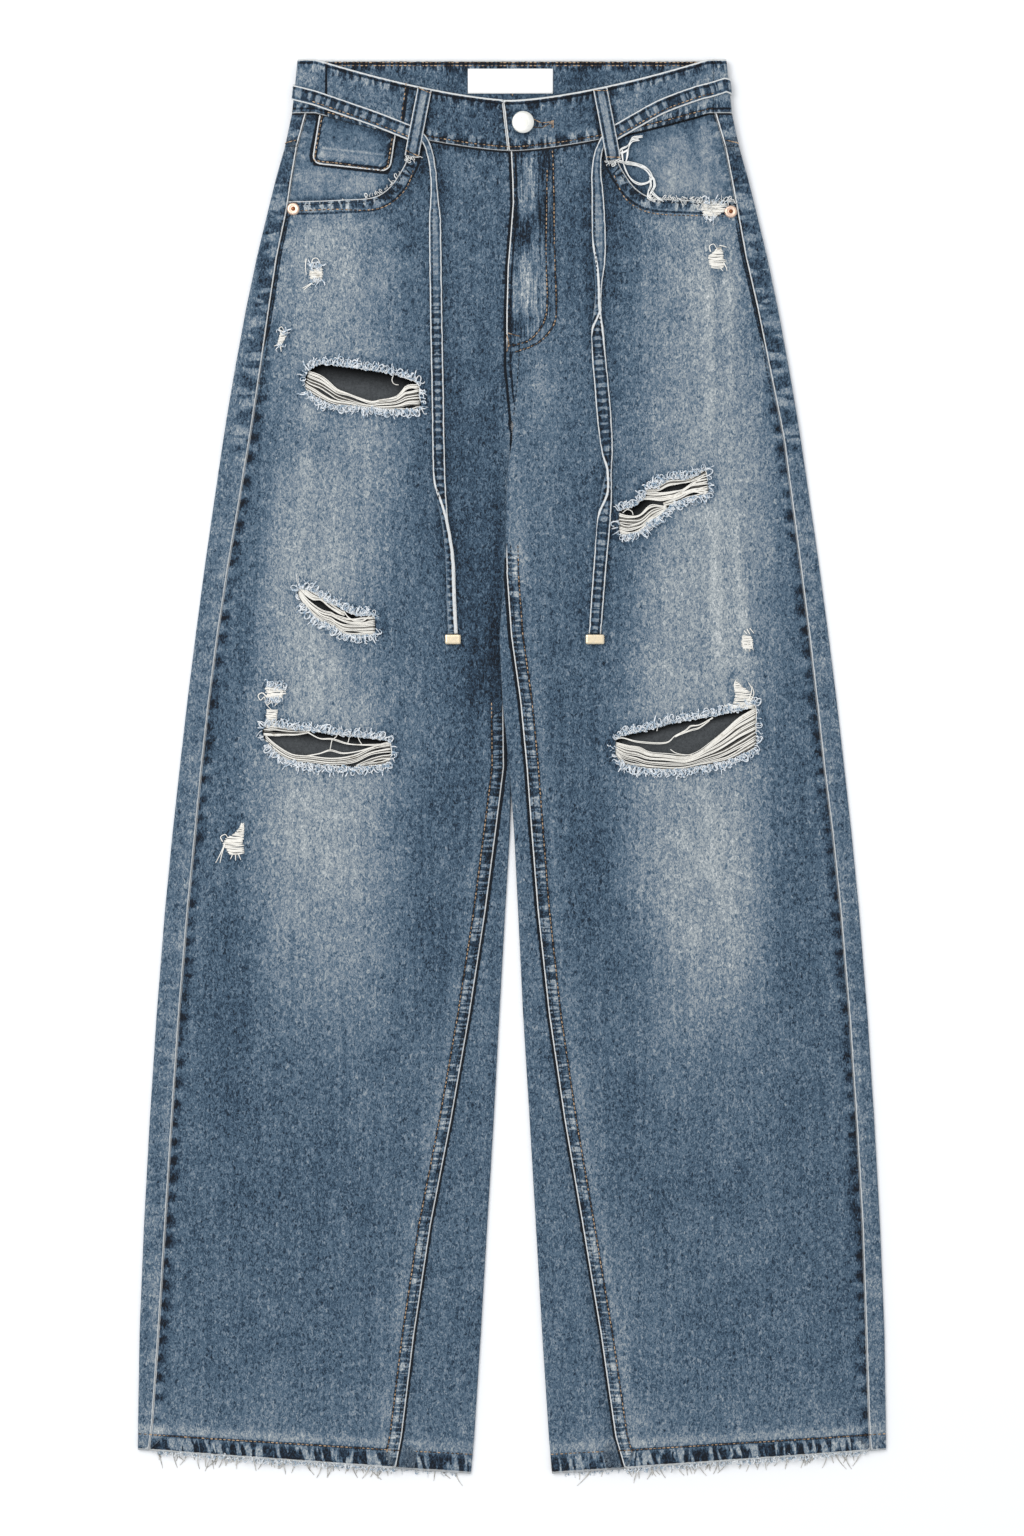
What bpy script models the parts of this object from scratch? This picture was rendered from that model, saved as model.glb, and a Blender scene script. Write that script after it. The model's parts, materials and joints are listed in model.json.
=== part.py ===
"""Ripped straight-leg jeans, laid flat on their back and buttoned.

The garment lies in the XY plane with its waist towards +Y and its front facing up. The origin
is on the surface that it lies on, under the middle of its outline. Every size is in millimetres
and becomes metres as a mesh is made. The wearer's right side is at -X.
"""

import math
from collections import namedtuple

import bmesh
import bpy
from mathutils import Vector

MM = 0.001

# Cloth and clearances
WALL = 1.0  # one layer of denim
SEAM_GAP = 0.3  # between two pieces at a seam, and under what lies on a flat band
HALF_GAP = SEAM_GAP / 2
LAYER_GAP = 0.5  # between a curved panel and what lies on it
FREE_GAP = 0.6  # under the loose ends of the tie

# Waistband, two layers of denim folded together
BAND_TOP = 540.0  # upper edge at the back and at the sides
BAND_SEAM = 498.8  # lower edge at the back and at the sides
BAND_TOP_DIP = 31.2  # how far the front's upper edge hangs at the centre
BAND_SEAM_DIP = 29.0
DIP_REACH = 150.0  # the dip starts this far from the centre
DIP_POWER = 1.48
BAND_WALL = 2.0
BAND_UNDER = 3.0
BAND_HEIGHT = 6.0  # outside height of the flattened band
BAND_TOP_HALF = 163.7  # half width along the upper edge
BAND_SEAM_HALF = 168.0
BAND_JOINTS = {-1: 141.0, 1: 154.0}  # where front and back band pieces meet, right and left
BAND_SPANS = 8  # faces along each band piece, and round its side folds
BAND_FOLD_STEPS = 6
BAND_END_TOP = -6.9  # the lapped end of the band at the centre front
BAND_END_SEAM = -2.5

# Tie, belt loops, label and metal
TIE_WIDTH = 11.2
TIE_WALL = 1.2
LOOP_WIDTH = 11.0
LOOP_WALL = 1.2
LABEL_SIZE = (65.0, 19.0, 1.0)
LABEL_CENTRE = (-1.2, 523.6)
BUTTON_RADIUS = 8.5
BUTTON_PLACE = (8.4, 491.3)
RIVET_RADIUS = 4.6
RIVET_PLACES = {-1: (-167.0, 426.0), 1: (167.0, 424.0)}

# The crotch is where the hip tube parts into two legs
CROTCH = 265.0
FOLD_GAP = 0.5  # from a cloth edge to a seam that runs along the tight inner fold
EDGE_STEPS = (0.0, 0.3, 1.3, 2.4)  # the front's first points, close together round a fold
CROWN_STEPS = (18.0, 38.0, 62.0)  # its next ones, up the crown from the centre or the inseam,
SIDE_STEPS = (48.0, 32.0, 16.0, 0.0)  # and the last ones, down the crown to the outseam
SIDE_FOLD_STEPS = 4  # faces round the back panel's fold at the side,
INNER_STEPS = 6  # round its inner fold,
BACK_SPANS = 5  # and across the flat between them
CROWN_REACH = 60.0  # the tube rises from its folded edge to its crown over this distance
LIFT_FLAT = 8.0  # the upper leg lies raised on the lower one up to here
LIFT_END = 50.0  # and is down on the surface from here

# A row for each section across the garment, from the waistband's seam to the hem.
# y: its height at the side fold, outer: half width, under: height of the underside,
# side, mid and inner: outside height of the tube at its side, crown and inner end,
# front_dip and back_dip: how far the row hangs at the centre, fly: x of the front's centre seam,
# open: degrees that the cloth's edges still have to roll into the leg's inner fold,
# hem_drop: how much lower the row is at the inseam than at the side
Section = namedtuple("Section", "y outer under side mid inner front_dip back_dip fly open hem_drop")
SECTIONS = [
    Section(498.5, 168.0, 3.0, 5.5, 5.5, 5.5, 29.0, 0.0, -1.0, 90.0, 0.0),
    Section(473.5, 173.4, 3.0, 5.0, 5.5, 5.4, 24.0, 32.0, 0.0, 90.0, 0.0),
    Section(450.0, 180.2, 2.2, 4.5, 5.5, 5.2, 19.0, 20.0, 0.5, 90.0, 0.0),
    Section(425.0, 186.5, 1.5, 4.1, 5.4, 5.0, 14.0, 10.0, -1.0, 90.0, 0.0),
    Section(390.0, 194.9, 1.5, 3.7, 5.4, 4.8, 8.0, 4.0, -3.4, 90.0, 0.0),
    Section(350.0, 203.3, 1.5, 3.3, 5.4, 4.5, 4.0, 0.0, -4.4, 90.0, 0.0),
    Section(305.0, 211.6, 1.5, 3.0, 5.4, 4.0, 0.0, 0.0, -4.4, 90.0, 0.0),
    Section(265.0, 218.4, 1.5, 3.0, 5.4, 3.0, 0.0, 0.0, -0.6, 90.0, 0.0),
    Section(261.5, 218.9, 1.5, 3.0, 5.4, 3.0, 0.0, 0.0, 0.0, 60.0, 0.0),
    Section(258.0, 219.5, 1.5, 3.0, 5.4, 3.0, 0.0, 0.0, 0.0, 30.0, 0.0),
    Section(255.0, 219.9, 1.5, 3.0, 5.4, 3.0, 0.0, 0.0, 0.0, 0.0, 0.0),
    Section(250.0, 220.7, 1.4, 3.0, 5.4, 3.0, 0.0, 0.0, 0.0, 0.0, 0.0),
    Section(225.0, 224.5, 0.6, 3.0, 5.4, 3.0, 0.0, 0.0, 0.0, 0.0, 0.0),
    Section(200.0, 228.2, 0.0, 3.0, 5.4, 3.0, 0.0, 0.0, 0.0, 0.0, 0.0),
    Section(183.0, 230.7, 0.0, 3.0, 5.4, 3.0, 0.0, 0.0, 0.0, 0.0, 0.0),
    Section(166.0, 233.1, 0.0, 3.0, 5.4, 3.0, 0.0, 0.0, 0.0, 0.0, 0.0),
    Section(150.0, 235.4, 0.0, 3.0, 5.4, 3.0, 0.0, 0.0, 0.0, 0.0, 0.0),
    Section(100.0, 242.0, 0.0, 3.0, 5.4, 3.0, 0.0, 0.0, 0.0, 0.0, 0.0),
    Section(50.0, 248.3, 0.0, 3.0, 5.4, 3.0, 0.0, 0.0, 0.0, 0.0, 0.0),
    Section(0.0, 254.0, 0.0, 3.0, 5.4, 3.0, 0.0, 0.0, 0.0, 0.0, 0.0),
    Section(-50.0, 259.5, 0.0, 3.0, 5.4, 3.0, 0.0, 0.0, 0.0, 0.0, 0.0),
    Section(-110.0, 265.4, 0.0, 3.0, 5.4, 3.0, 0.0, 0.0, 0.0, 0.0, 0.0),
    Section(-190.0, 271.8, 0.0, 3.0, 5.3, 3.0, 0.0, 0.0, 0.0, 0.0, 0.0),
    Section(-270.0, 277.0, 0.0, 3.0, 5.2, 3.0, 0.0, 0.0, 0.0, 0.0, 0.0),
    Section(-350.0, 281.4, 0.0, 3.0, 5.2, 3.0, 0.0, 0.0, 0.0, 0.0, 0.0),
    Section(-430.0, 284.7, 0.0, 3.0, 5.2, 3.0, 0.0, 0.0, 0.0, 0.0, 4.0),
    Section(-500.0, 285.9, 0.0, 3.1, 5.2, 3.1, 0.0, 0.0, 0.0, 0.0, 14.0),
    Section(-521.7, 286.1, 0.0, 3.2, 5.2, 3.2, 0.0, 0.0, 0.0, 0.0, 18.3),
]
YOKE_ROWS = 2  # the yoke takes the first two sections, and the back panel starts at its seam

# A row for each section again, with what differs between the sides.
# outseam: from the side fold in to the outseam, on top, inner: distance from the centre line of
# the leg's inner fold, inseam: from that fold round to the inseam, lift: how high the fold lies
# on the other leg
Leg = namedtuple("Leg", "y outseam inner inseam lift")
RIGHT_LEG = [
    Leg(498.5, 10.9, 0.0, 0.0, 0.0),
    Leg(473.5, 9.4, 0.0, 0.0, 0.0),
    Leg(450.0, 12.1, 0.0, 0.0, 0.0),
    Leg(425.0, 14.6, 0.0, 0.0, 0.0),
    Leg(390.0, 15.6, 0.0, 0.0, 0.0),
    Leg(350.0, 17.9, 0.0, 0.0, 0.0),
    Leg(305.0, 19.7, 0.0, 0.0, 0.0),
    Leg(265.0, 20.3, 0.2, 0.0, 0.0),
    Leg(261.5, 20.3, 0.2, 0.0, 0.0),
    Leg(258.0, 20.2, 0.2, 0.0, 0.0),
    Leg(255.0, 20.2, 0.2, 0.0, 0.0),
    Leg(250.0, 20.2, 0.2, 0.0, 0.0),
    Leg(225.0, 19.7, 0.0, 0.0, 0.0),
    Leg(200.0, 19.4, -1.2, 0.0, 0.0),
    Leg(183.0, 18.9, -1.6, 0.8, 0.0),
    Leg(166.0, 18.4, -1.9, 1.7, 0.0),
    Leg(150.0, 18.0, -2.0, 3.4, 0.0),
    Leg(100.0, 17.0, -2.3, 8.9, 0.0),
    Leg(50.0, 16.7, -1.5, 8.9, 0.0),
    Leg(0.0, 16.9, 0.2, 6.6, 0.0),
    Leg(-50.0, 17.6, 1.6, 11.5, 0.0),
    Leg(-110.0, 17.6, 5.2, 15.7, 0.0),
    Leg(-190.0, 17.3, 9.7, 23.5, 0.0),
    Leg(-270.0, 17.1, 14.0, 33.2, 0.0),
    Leg(-350.0, 16.5, 18.9, 43.9, 0.0),
    Leg(-430.0, 14.7, 23.9, 51.5, 0.0),
    Leg(-500.0, 11.0, 29.0, 55.9, 0.0),
    Leg(-521.7, 8.6, 31.4, 58.3, 0.0),
]
LEFT_LEG = [
    Leg(498.5, 13.0, 0.0, 0.0, 0.0),
    Leg(473.5, 10.9, 0.0, 0.0, 0.0),
    Leg(450.0, 12.9, 0.0, 0.0, 0.0),
    Leg(425.0, 14.6, 0.0, 0.0, 0.0),
    Leg(390.0, 16.6, 0.0, 0.0, 0.0),
    Leg(350.0, 15.8, 0.0, 0.0, 0.0),
    Leg(305.0, 15.0, 0.0, 0.0, 0.0),
    Leg(265.0, 13.6, 0.2, 0.0, 0.0),
    Leg(261.5, 13.5, 0.2, 0.0, 0.9),
    Leg(258.0, 13.4, 0.2, 0.0, 1.8),
    Leg(255.0, 13.2, 0.2, 0.0, 2.6),
    Leg(250.0, 13.0, 0.2, 0.0, 3.6),
    Leg(225.0, 13.5, -3.8, 0.0, 3.6),
    Leg(200.0, 13.8, -4.7, 0.0, 3.6),
    Leg(183.0, 14.1, -5.2, 0.8, 3.6),
    Leg(166.0, 14.3, -5.7, 1.6, 3.6),
    Leg(150.0, 14.5, -6.0, 2.4, 3.6),
    Leg(100.0, 14.8, -9.7, 9.7, 3.6),
    Leg(50.0, 15.3, -7.3, 14.3, 3.6),
    Leg(0.0, 15.5, -2.1, 13.9, 3.6),
    Leg(-50.0, 14.7, 1.6, 13.9, 1.2),
    Leg(-110.0, 14.4, 4.6, 15.7, 0.0),
    Leg(-190.0, 14.0, 8.5, 20.6, 0.0),
    Leg(-270.0, 13.8, 13.5, 27.4, 0.0),
    Leg(-350.0, 13.6, 18.2, 36.4, 0.0),
    Leg(-430.0, 14.1, 23.1, 45.4, 0.0),
    Leg(-500.0, 13.1, 28.3, 51.4, 0.0),
    Leg(-521.7, 12.0, 30.6, 56.4, 0.0),
]
Side = namedtuple("Side", "name sign legs")
SIDES = [Side("right", -1, RIGHT_LEG), Side("left", 1, LEFT_LEG)]

# The scooped pocket opening, from the waistband to the outseam: distance from the centre, height
SCOOP = [
    (77.5, 484.0),
    (79.5, 466.0),
    (86.0, 452.5),
    (95.0, 441.0),
    (107.0, 434.6),
    (128.0, 433.0),
    (154.0, 432.0),
    (176.0, 432.0),
]
SCOOP_OUTSIDE = (215.0, 520.0)  # the opening's cut runs out past the outseam and the waistband
CUT_SPAN = (-5.0, 25.0)  # heights that every cut runs between
FACING_INNER = 72.0  # the facing runs on under the front panel to here
FACING_LOW = 418.0
COIN_TOP = (147.0, 88.5)  # the coin pocket's side edges at the waistband
COIN_LOW = (153.0, 93.0)
COIN_DEPTHS = (460.5, 454.0)  # its lower corners, outer and inner
FACING_SPANS = (5, 8)  # faces down and across the facing, and the coin pocket
COIN_SPANS = (3, 4)

# The five rips that go right through the front, each an outline of (x, y)
RIPS = {
    "right": {
        "thigh": [
            (-157.6, 300.0), (-146.0, 305.5), (-133.0, 307.5), (-107.0, 303.0), (-86.0, 297.5),
            (-71.8, 290.0), (-71.0, 275.0), (-88.0, 271.5), (-107.0, 273.3), (-127.0, 275.4),
            (-145.4, 280.0), (-156.5, 288.5),
        ],
        "low_thigh": [
            (-164.0, 143.0), (-150.7, 130.5), (-126.2, 123.2), (-110.2, 117.2), (-103.8, 108.0),
            (-107.1, 100.0), (-127.0, 103.3), (-139.2, 110.7), (-156.1, 119.0), (-164.0, 131.5),
        ],
        "knee": [
            (-188.5, 29.0), (-169.1, 27.8), (-133.9, 23.9), (-107.1, 19.0), (-93.2, 13.6),
            (-97.5, 9.6), (-118.6, 5.6), (-143.0, 3.3), (-167.5, 7.7), (-187.5, 19.5),
        ],
    },
    "left": {
        "thigh": [
            (83.0, 190.5), (103.0, 209.0), (122.4, 219.0), (146.5, 221.5), (149.0, 207.5),
            (130.0, 198.2), (105.6, 184.6), (86.0, 179.5),
        ],
        "knee": [
            (79.8, 19.5), (104.0, 28.6), (130.0, 35.2), (162.9, 40.5), (183.0, 44.0),
            (185.7, 30.0), (182.8, 16.8), (158.4, 5.4), (130.0, -1.1), (104.0, -0.8),
            (87.2, 3.1), (80.2, 10.5),
        ],
    },
}

# The tie round the waist, from the right loop over the right side to the back: (x, y), and the
# same on the left
TIE_FRONT = {
    "right": [(-75.6, 482.6), (-92.0, 489.2), (-107.0, 495.0), (-130.8, 503.2), (-150.0, 509.8)],
    "left": [(76.6, 482.4), (94.0, 492.4), (114.5, 503.6), (140.0, 513.2), (152.0, 516.4)],
}
TIE_SIDE_RISE = 3.5  # from there to the side fold
TIE_BACK_HEIGHT = 517.0

# The free ends of the tie, a row for each place along them: x, y, width
TieRow = namedtuple("TieRow", "x y width")
TIE_ENDS = {
    "right": [
        TieRow(-72.6, 481.9, 7.0),
        TieRow(-67.0, 478.6, 5.4),
        TieRow(-62.7, 468.2, 5.0),
        TieRow(-60.1, 452.9, 5.0),
        TieRow(-59.3, 437.6, 5.6),
        TieRow(-58.8, 420.0, 8.6),
        TieRow(-58.6, 403.2, 9.2),
        TieRow(-58.2, 372.0, 9.2),
        TieRow(-57.8, 342.0, 9.2),
        TieRow(-57.2, 311.0, 9.2),
        TieRow(-56.6, 280.8, 9.2),
        TieRow(-56.2, 250.0, 9.2),
        TieRow(-55.4, 219.6, 9.2),
        TieRow(-53.6, 203.0, 7.4),
        TieRow(-51.4, 189.0, 5.4),
        TieRow(-48.8, 172.0, 6.2),
        TieRow(-47.2, 156.0, 7.0),
        TieRow(-46.4, 129.0, 7.2),
        TieRow(-45.1, 101.7, 7.4),
    ],
    "left": [
        TieRow(73.6, 482.4, 6.0),
        TieRow(69.8, 478.0, 5.0),
        TieRow(65.8, 468.2, 6.0),
        TieRow(64.3, 452.9, 7.6),
        TieRow(65.0, 441.4, 8.6),
        TieRow(65.8, 422.0, 10.0),
        TieRow(66.3, 403.2, 10.3),
        TieRow(66.6, 386.3, 9.2),
        TieRow(66.1, 368.0, 5.4),
        TieRow(65.5, 352.0, 5.4),
        TieRow(65.3, 334.0, 9.2),
        TieRow(66.4, 312.0, 10.5),
        TieRow(68.5, 289.0, 10.8),
        TieRow(70.4, 265.5, 10.9),
        TieRow(72.6, 241.0, 8.6),
        TieRow(73.8, 225.7, 4.6),
        TieRow(72.2, 210.0, 8.2),
        TieRow(70.2, 189.0, 10.2),
        TieRow(67.6, 158.4, 9.9),
        TieRow(65.2, 127.8, 9.6),
        TieRow(63.3, 101.7, 9.2),
    ],
}
TIE_STEP = (470.0, 477.0)  # each end steps down from the waistband to the panel between these
TIP_SIZES = {"right": (12.2, 7.6, 3.4), "left": (14.5, 7.6, 3.4)}

# Belt loops: upper and lower end on the front, and the places of the plain ones at the back
FRONT_LOOPS = {
    "right": ((-66.6, 517.0), (-76.5, 465.5)),
    "left": ((67.3, 517.0), (77.6, 462.5)),
}
BACK_LOOPS = {"right": -100.0, "centre": 0.0, "left": 100.0}
BACK_LOOP_TOP = 538.0
BACK_LOOP_LENGTH = 52.0

# Patch pockets on the back: corners about the pocket's own centre
POCKET_CENTRE = (88.0, 330.0)
POCKET_CORNERS = [(-73.0, 72.0), (73.0, 74.0), (66.0, -52.0), (0.0, -76.0), (-67.0, -54.0)]

MATERIALS = {
    "washed_denim": ((0.12, 0.17, 0.23), 0.86, 0.0),
    "worn_denim": ((0.17, 0.22, 0.28), 0.86, 0.0),
    "label_cotton": ((0.84, 0.84, 0.84), 0.8, 0.0),
    "silver_metal": ((0.78, 0.76, 0.72), 0.3, 1.0),
    "rose_brass": ((0.70, 0.52, 0.42), 0.35, 1.0),
    "pale_brass": ((0.78, 0.70, 0.58), 0.3, 1.0),
}


def smooth(share):
    """Runs from 0 to 1 with level ends."""
    share = max(0.0, min(1.0, share))
    return share * share * (3.0 - 2.0 * share)


def column(table, name, y):
    """A column's value at the height y, straight between the table's rows."""
    if y >= table[0].y:
        return getattr(table[0], name)
    for above, below in zip(table, table[1:]):
        if y >= below.y:
            share = (above.y - y) / (above.y - below.y)
            return (1.0 - share) * getattr(above, name) + share * getattr(below, name)
    return getattr(table[-1], name)


def dip(a):
    """The share of its centre's hang that a front row has at the distance a from the centre."""
    return 1.0 - min(1.0, max(0.0, a) / DIP_REACH) ** DIP_POWER


def band_top(a):
    return BAND_TOP - BAND_TOP_DIP * dip(a)


def band_seam(a):
    return BAND_SEAM - BAND_SEAM_DIP * dip(a)


def underside(side, a, y):
    """The height of the garment's lower surface."""
    lift = column(side.legs, "lift", y)
    return column(SECTIONS, "under", y) + lift * (1.0 - smooth((a - LIFT_FLAT) / (LIFT_END - LIFT_FLAT)))


def flat_end(side, y):
    """Where the tube's flat part ends next to the centre."""
    if y >= CROTCH:
        return HALF_GAP
    return column(side.legs, "inner", y) + column(SECTIONS, "inner", y) / 2


def front_height(side, a, y):
    """The height of the garment's upper surface."""
    side_h = column(SECTIONS, "side", y)
    mid_h = column(SECTIONS, "mid", y)
    inner_h = column(SECTIONS, "inner", y)
    from_side = column(SECTIONS, "outer", y) - side_h / 2 - a
    from_inner = a - flat_end(side, y)
    tube = mid_h
    tube -= (mid_h - side_h) * (1.0 - smooth(from_side / CROWN_REACH))
    tube -= (mid_h - inner_h) * (1.0 - smooth(from_inner / CROWN_REACH))
    return underside(side, a, y) + tube


def row_y(section, leg, a, on_front):
    """The height along the garment of one section's point at the distance a."""
    hang = section.front_dip * dip(a) if on_front else section.back_dip * (1.0 - a / section.outer)
    share = (section.outer - a) / (section.outer - leg.inner)
    return section.y - hang - section.hem_drop * max(0.0, min(1.0, share))


def inner_fold(side, section, leg, arc):
    """The point at this arc from the apex of the leg's inner fold, positive towards the top."""
    radius = section.inner / 2
    quarter = math.pi * radius / 2
    centre = leg.inner + radius
    if abs(arc) < quarter:
        angle = arc / radius
        a = centre - radius * math.cos(angle)
        height = underside(side, centre, section.y) + radius * (1.0 + math.sin(angle))
        return a, row_y(section, leg, a, True), height
    a = centre + abs(arc) - quarter
    y = row_y(section, leg, a, arc > 0.0)
    return a, y, (front_height(side, a, y) if arc > 0.0 else underside(side, a, y))


def seam_gap(section, leg):
    """Half the inseam's gap, wider while the seam is still on the fold."""
    return FOLD_GAP if leg.inseam < math.pi * section.inner / 4 else HALF_GAP


def front_row(side, index):
    """The front panel's outer points in one section, from the centre or inseam to the outseam."""
    section, leg = SECTIONS[index], side.legs[index]
    points = []
    if section.y >= CROTCH:
        start = side.sign * section.fly + HALF_GAP
        for step in EDGE_STEPS:
            y = row_y(section, leg, start + step, True)
            points.append((start + step, y, front_height(side, start + step, y)))
    else:
        start = leg.inseam + math.radians(section.open) * section.inner / 2 + seam_gap(section, leg)
        points = [inner_fold(side, section, leg, start + step) for step in EDGE_STEPS]
    first = points[-1][0]
    last = section.outer - leg.outseam - HALF_GAP
    middle = (first + CROWN_STEPS[-1] + last - SIDE_STEPS[0]) / 2
    for a in [first + step for step in CROWN_STEPS] + [middle] + [last - step for step in SIDE_STEPS]:
        y = row_y(section, leg, a, True)
        points.append((a, y, front_height(side, a, y)))
    return points


def back_row(side, index):
    """The back's outer points in one section, from the outseam round the side fold to the inseam."""
    section, leg = SECTIONS[index], side.legs[index]
    radius = section.side / 2
    tangent = section.outer - radius
    start = section.outer - leg.outseam + HALF_GAP
    points = []
    for share in (0.0, 0.5, 1.0):
        a = start + (tangent - start) * share
        y = row_y(section, leg, a, True)
        points.append((a, y, front_height(side, a, y)))
    base = underside(side, tangent, section.y)
    for k in range(1, SIDE_FOLD_STEPS + 1):
        angle = math.pi / 2 - k * math.pi / SIDE_FOLD_STEPS
        a = tangent + radius * math.cos(angle)
        points.append((a, section.y, base + radius * (1.0 + math.sin(angle))))
    if section.y >= CROTCH:
        inner_end = []
        for k in range(INNER_STEPS, -1, -1):
            a = HALF_GAP + k * EDGE_STEPS[1]
            y = row_y(section, leg, a, False)
            inner_end.append((a, y, underside(side, a, y)))
    else:
        quarter = math.pi * section.inner / 4
        end = leg.inseam - math.radians(section.open) * section.inner / 2 - seam_gap(section, leg)
        if end < quarter:
            arcs = [-quarter + (end + quarter) * k / INNER_STEPS for k in range(INNER_STEPS + 1)]
        else:
            turns = INNER_STEPS - 1
            arcs = [-quarter + 2 * quarter * k / turns for k in range(INNER_STEPS)] + [end]
        inner_end = [inner_fold(side, section, leg, arc) for arc in arcs]
    for k in range(1, BACK_SPANS):
        a = tangent + (inner_end[0][0] - tangent) * k / BACK_SPANS
        y = row_y(section, leg, a, False)
        points.append((a, y, underside(side, a, y)))
    return points + inner_end


def moved(row, shift):
    """A row of points, moved along the garment."""
    return [(a, y + shift, z) for a, y, z in row]


def loft(name, rows, mirror, wall):
    """A cloth piece: an open surface through rows of (a, y, z), with its wall inside it.

    Its first face is on top of the garment.
    """
    mesh = bpy.data.meshes.new(name)
    shape = bmesh.new()
    grid = [[shape.verts.new((mirror * a * MM, y * MM, z * MM)) for a, y, z in row] for row in rows]
    for above, below in zip(grid, grid[1:]):
        for k in range(len(above) - 1):
            shape.faces.new((above[k], above[k + 1], below[k + 1], below[k]))
    shape.faces.ensure_lookup_table()
    shape.faces[0].normal_update()
    if shape.faces[0].normal.z < 0.0:
        bmesh.ops.reverse_faces(shape, faces=shape.faces[:])
    shape.to_mesh(mesh)
    shape.free()
    piece = add_piece(name, mesh)
    thickness = piece.modifiers.new("Wall", "SOLIDIFY")
    thickness.thickness = wall * MM
    thickness.offset = -1.0
    thickness.use_even_offset = True
    return piece


def add_piece(name, mesh, target=None):
    """Links a mesh as an object of the garment, shaded smooth between its sharp edges."""
    mesh.shade_smooth()
    mesh.set_sharp_from_angle(angle=math.radians(40.0))
    piece = bpy.data.objects.new(name, mesh)
    (target or garment).objects.link(piece)
    return piece


def finish(piece, material):
    piece.data.materials.append(materials[material])
    return piece


def curve_through(points, steps, closed=False):
    """A smooth line of (x, y) through the points, with this many steps between two of them."""
    count = len(points)
    spans = count if closed else count - 1
    line = []
    for i in range(spans):
        def at(k):
            return points[k % count] if closed else points[max(0, min(count - 1, k))]
        p0, p1, p2, p3 = at(i - 1), at(i), at(i + 1), at(i + 2)
        for k in range(steps):
            t = k / steps
            line.append(tuple(
                0.5 * (2 * b + (c - a) * t + (2 * a - 5 * b + 4 * c - d) * t * t
                       + (3 * b - a - 3 * c + d) * t ** 3)
                for a, b, c, d in zip(p0, p1, p2, p3)
            ))
    if not closed:
        line.append(points[-1])
    return line


def plate(name, outline, low, high, target):
    """A flat piece: a closed outline of (x, y), filled, between two heights."""
    curve = bpy.data.curves.new(name, "CURVE")
    curve.dimensions = "2D"
    curve.fill_mode = "BOTH"
    curve.extrude = (high - low) / 2 * MM
    spline = curve.splines.new("POLY")
    spline.points.add(len(outline) - 1)
    for point, (x, y) in zip(spline.points, outline):
        point.co = (x * MM, y * MM, 0.0, 1.0)
    spline.use_cyclic_u = True
    guide = bpy.data.objects.new(name + "_outline", curve)
    guide.location.z = (low + high) / 2 * MM
    target.objects.link(guide)
    bpy.context.view_layer.update()
    mesh = bpy.data.meshes.new_from_object(guide.evaluated_get(bpy.context.evaluated_depsgraph_get()))
    welded = bmesh.new()
    welded.from_mesh(mesh)
    bmesh.ops.remove_doubles(welded, verts=welded.verts, dist=0.01 * MM)
    welded.to_mesh(mesh)
    welded.free()
    piece = add_piece(name, mesh, target)
    piece.matrix_world = guide.matrix_world
    bpy.data.objects.remove(guide)
    return piece


def cut(piece, name, outline):
    """Cuts a hole of this outline right through a piece."""
    cutter = plate(name, outline, *CUT_SPAN, cutters)
    cutter.hide_render = True
    cutter.display_type = "WIRE"
    hole = piece.modifiers.new(name, "BOOLEAN")
    hole.operation = "DIFFERENCE"
    hole.solver = "EXACT"
    hole.object = cutter


def turned(name, profile, place, base, segments=24):
    """A round piece: a profile of (radius, height), top to bottom, turned about its axis."""
    mesh = bpy.data.meshes.new(name)
    points = [(r * MM, 0.0, z * MM) for r, z in profile]
    mesh.from_pydata(points, [(k, k + 1) for k in range(len(points) - 1)], [])
    piece = add_piece(name, mesh)
    piece.location = (place[0] * MM, place[1] * MM, base * MM)
    spin = piece.modifiers.new("Turned", "SCREW")
    spin.steps = segments
    spin.render_steps = segments
    spin.use_merge_vertices = True
    spin.merge_threshold = 0.00001
    return piece


def block(name, size, place, low, bevel):
    """A rounded block of (x, y, z) size whose underside is at the height low."""
    shape = bmesh.new()
    bmesh.ops.create_cube(shape, size=1.0)
    bmesh.ops.scale(shape, vec=Vector(size) * MM, verts=shape.verts)
    mesh = bpy.data.meshes.new(name)
    shape.to_mesh(mesh)
    shape.free()
    piece = add_piece(name, mesh)
    piece.location = (place[0] * MM, place[1] * MM, (low + size[2] / 2) * MM)
    rounding = piece.modifiers.new("Rounded", "BEVEL")
    rounding.width = bevel * MM
    rounding.segments = 2
    return piece


def strip(name, centres, widths, heights, wall):
    """A ribbon along a route of (x, y), each place with its width and the height of its top."""
    rows = []
    count = len(centres)
    for k in range(count):
        before, after = centres[max(0, k - 1)], centres[min(count - 1, k + 1)]
        along = Vector((after[0] - before[0], after[1] - before[1])).normalized()
        across = Vector((-along.y, along.x)) * widths[k] / 2
        x, y = centres[k]
        rows.append([(x - across.x, y - across.y, heights[k]), (x + across.x, y + across.y, heights[k])])
    return loft(name, rows, 1, wall)


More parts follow.
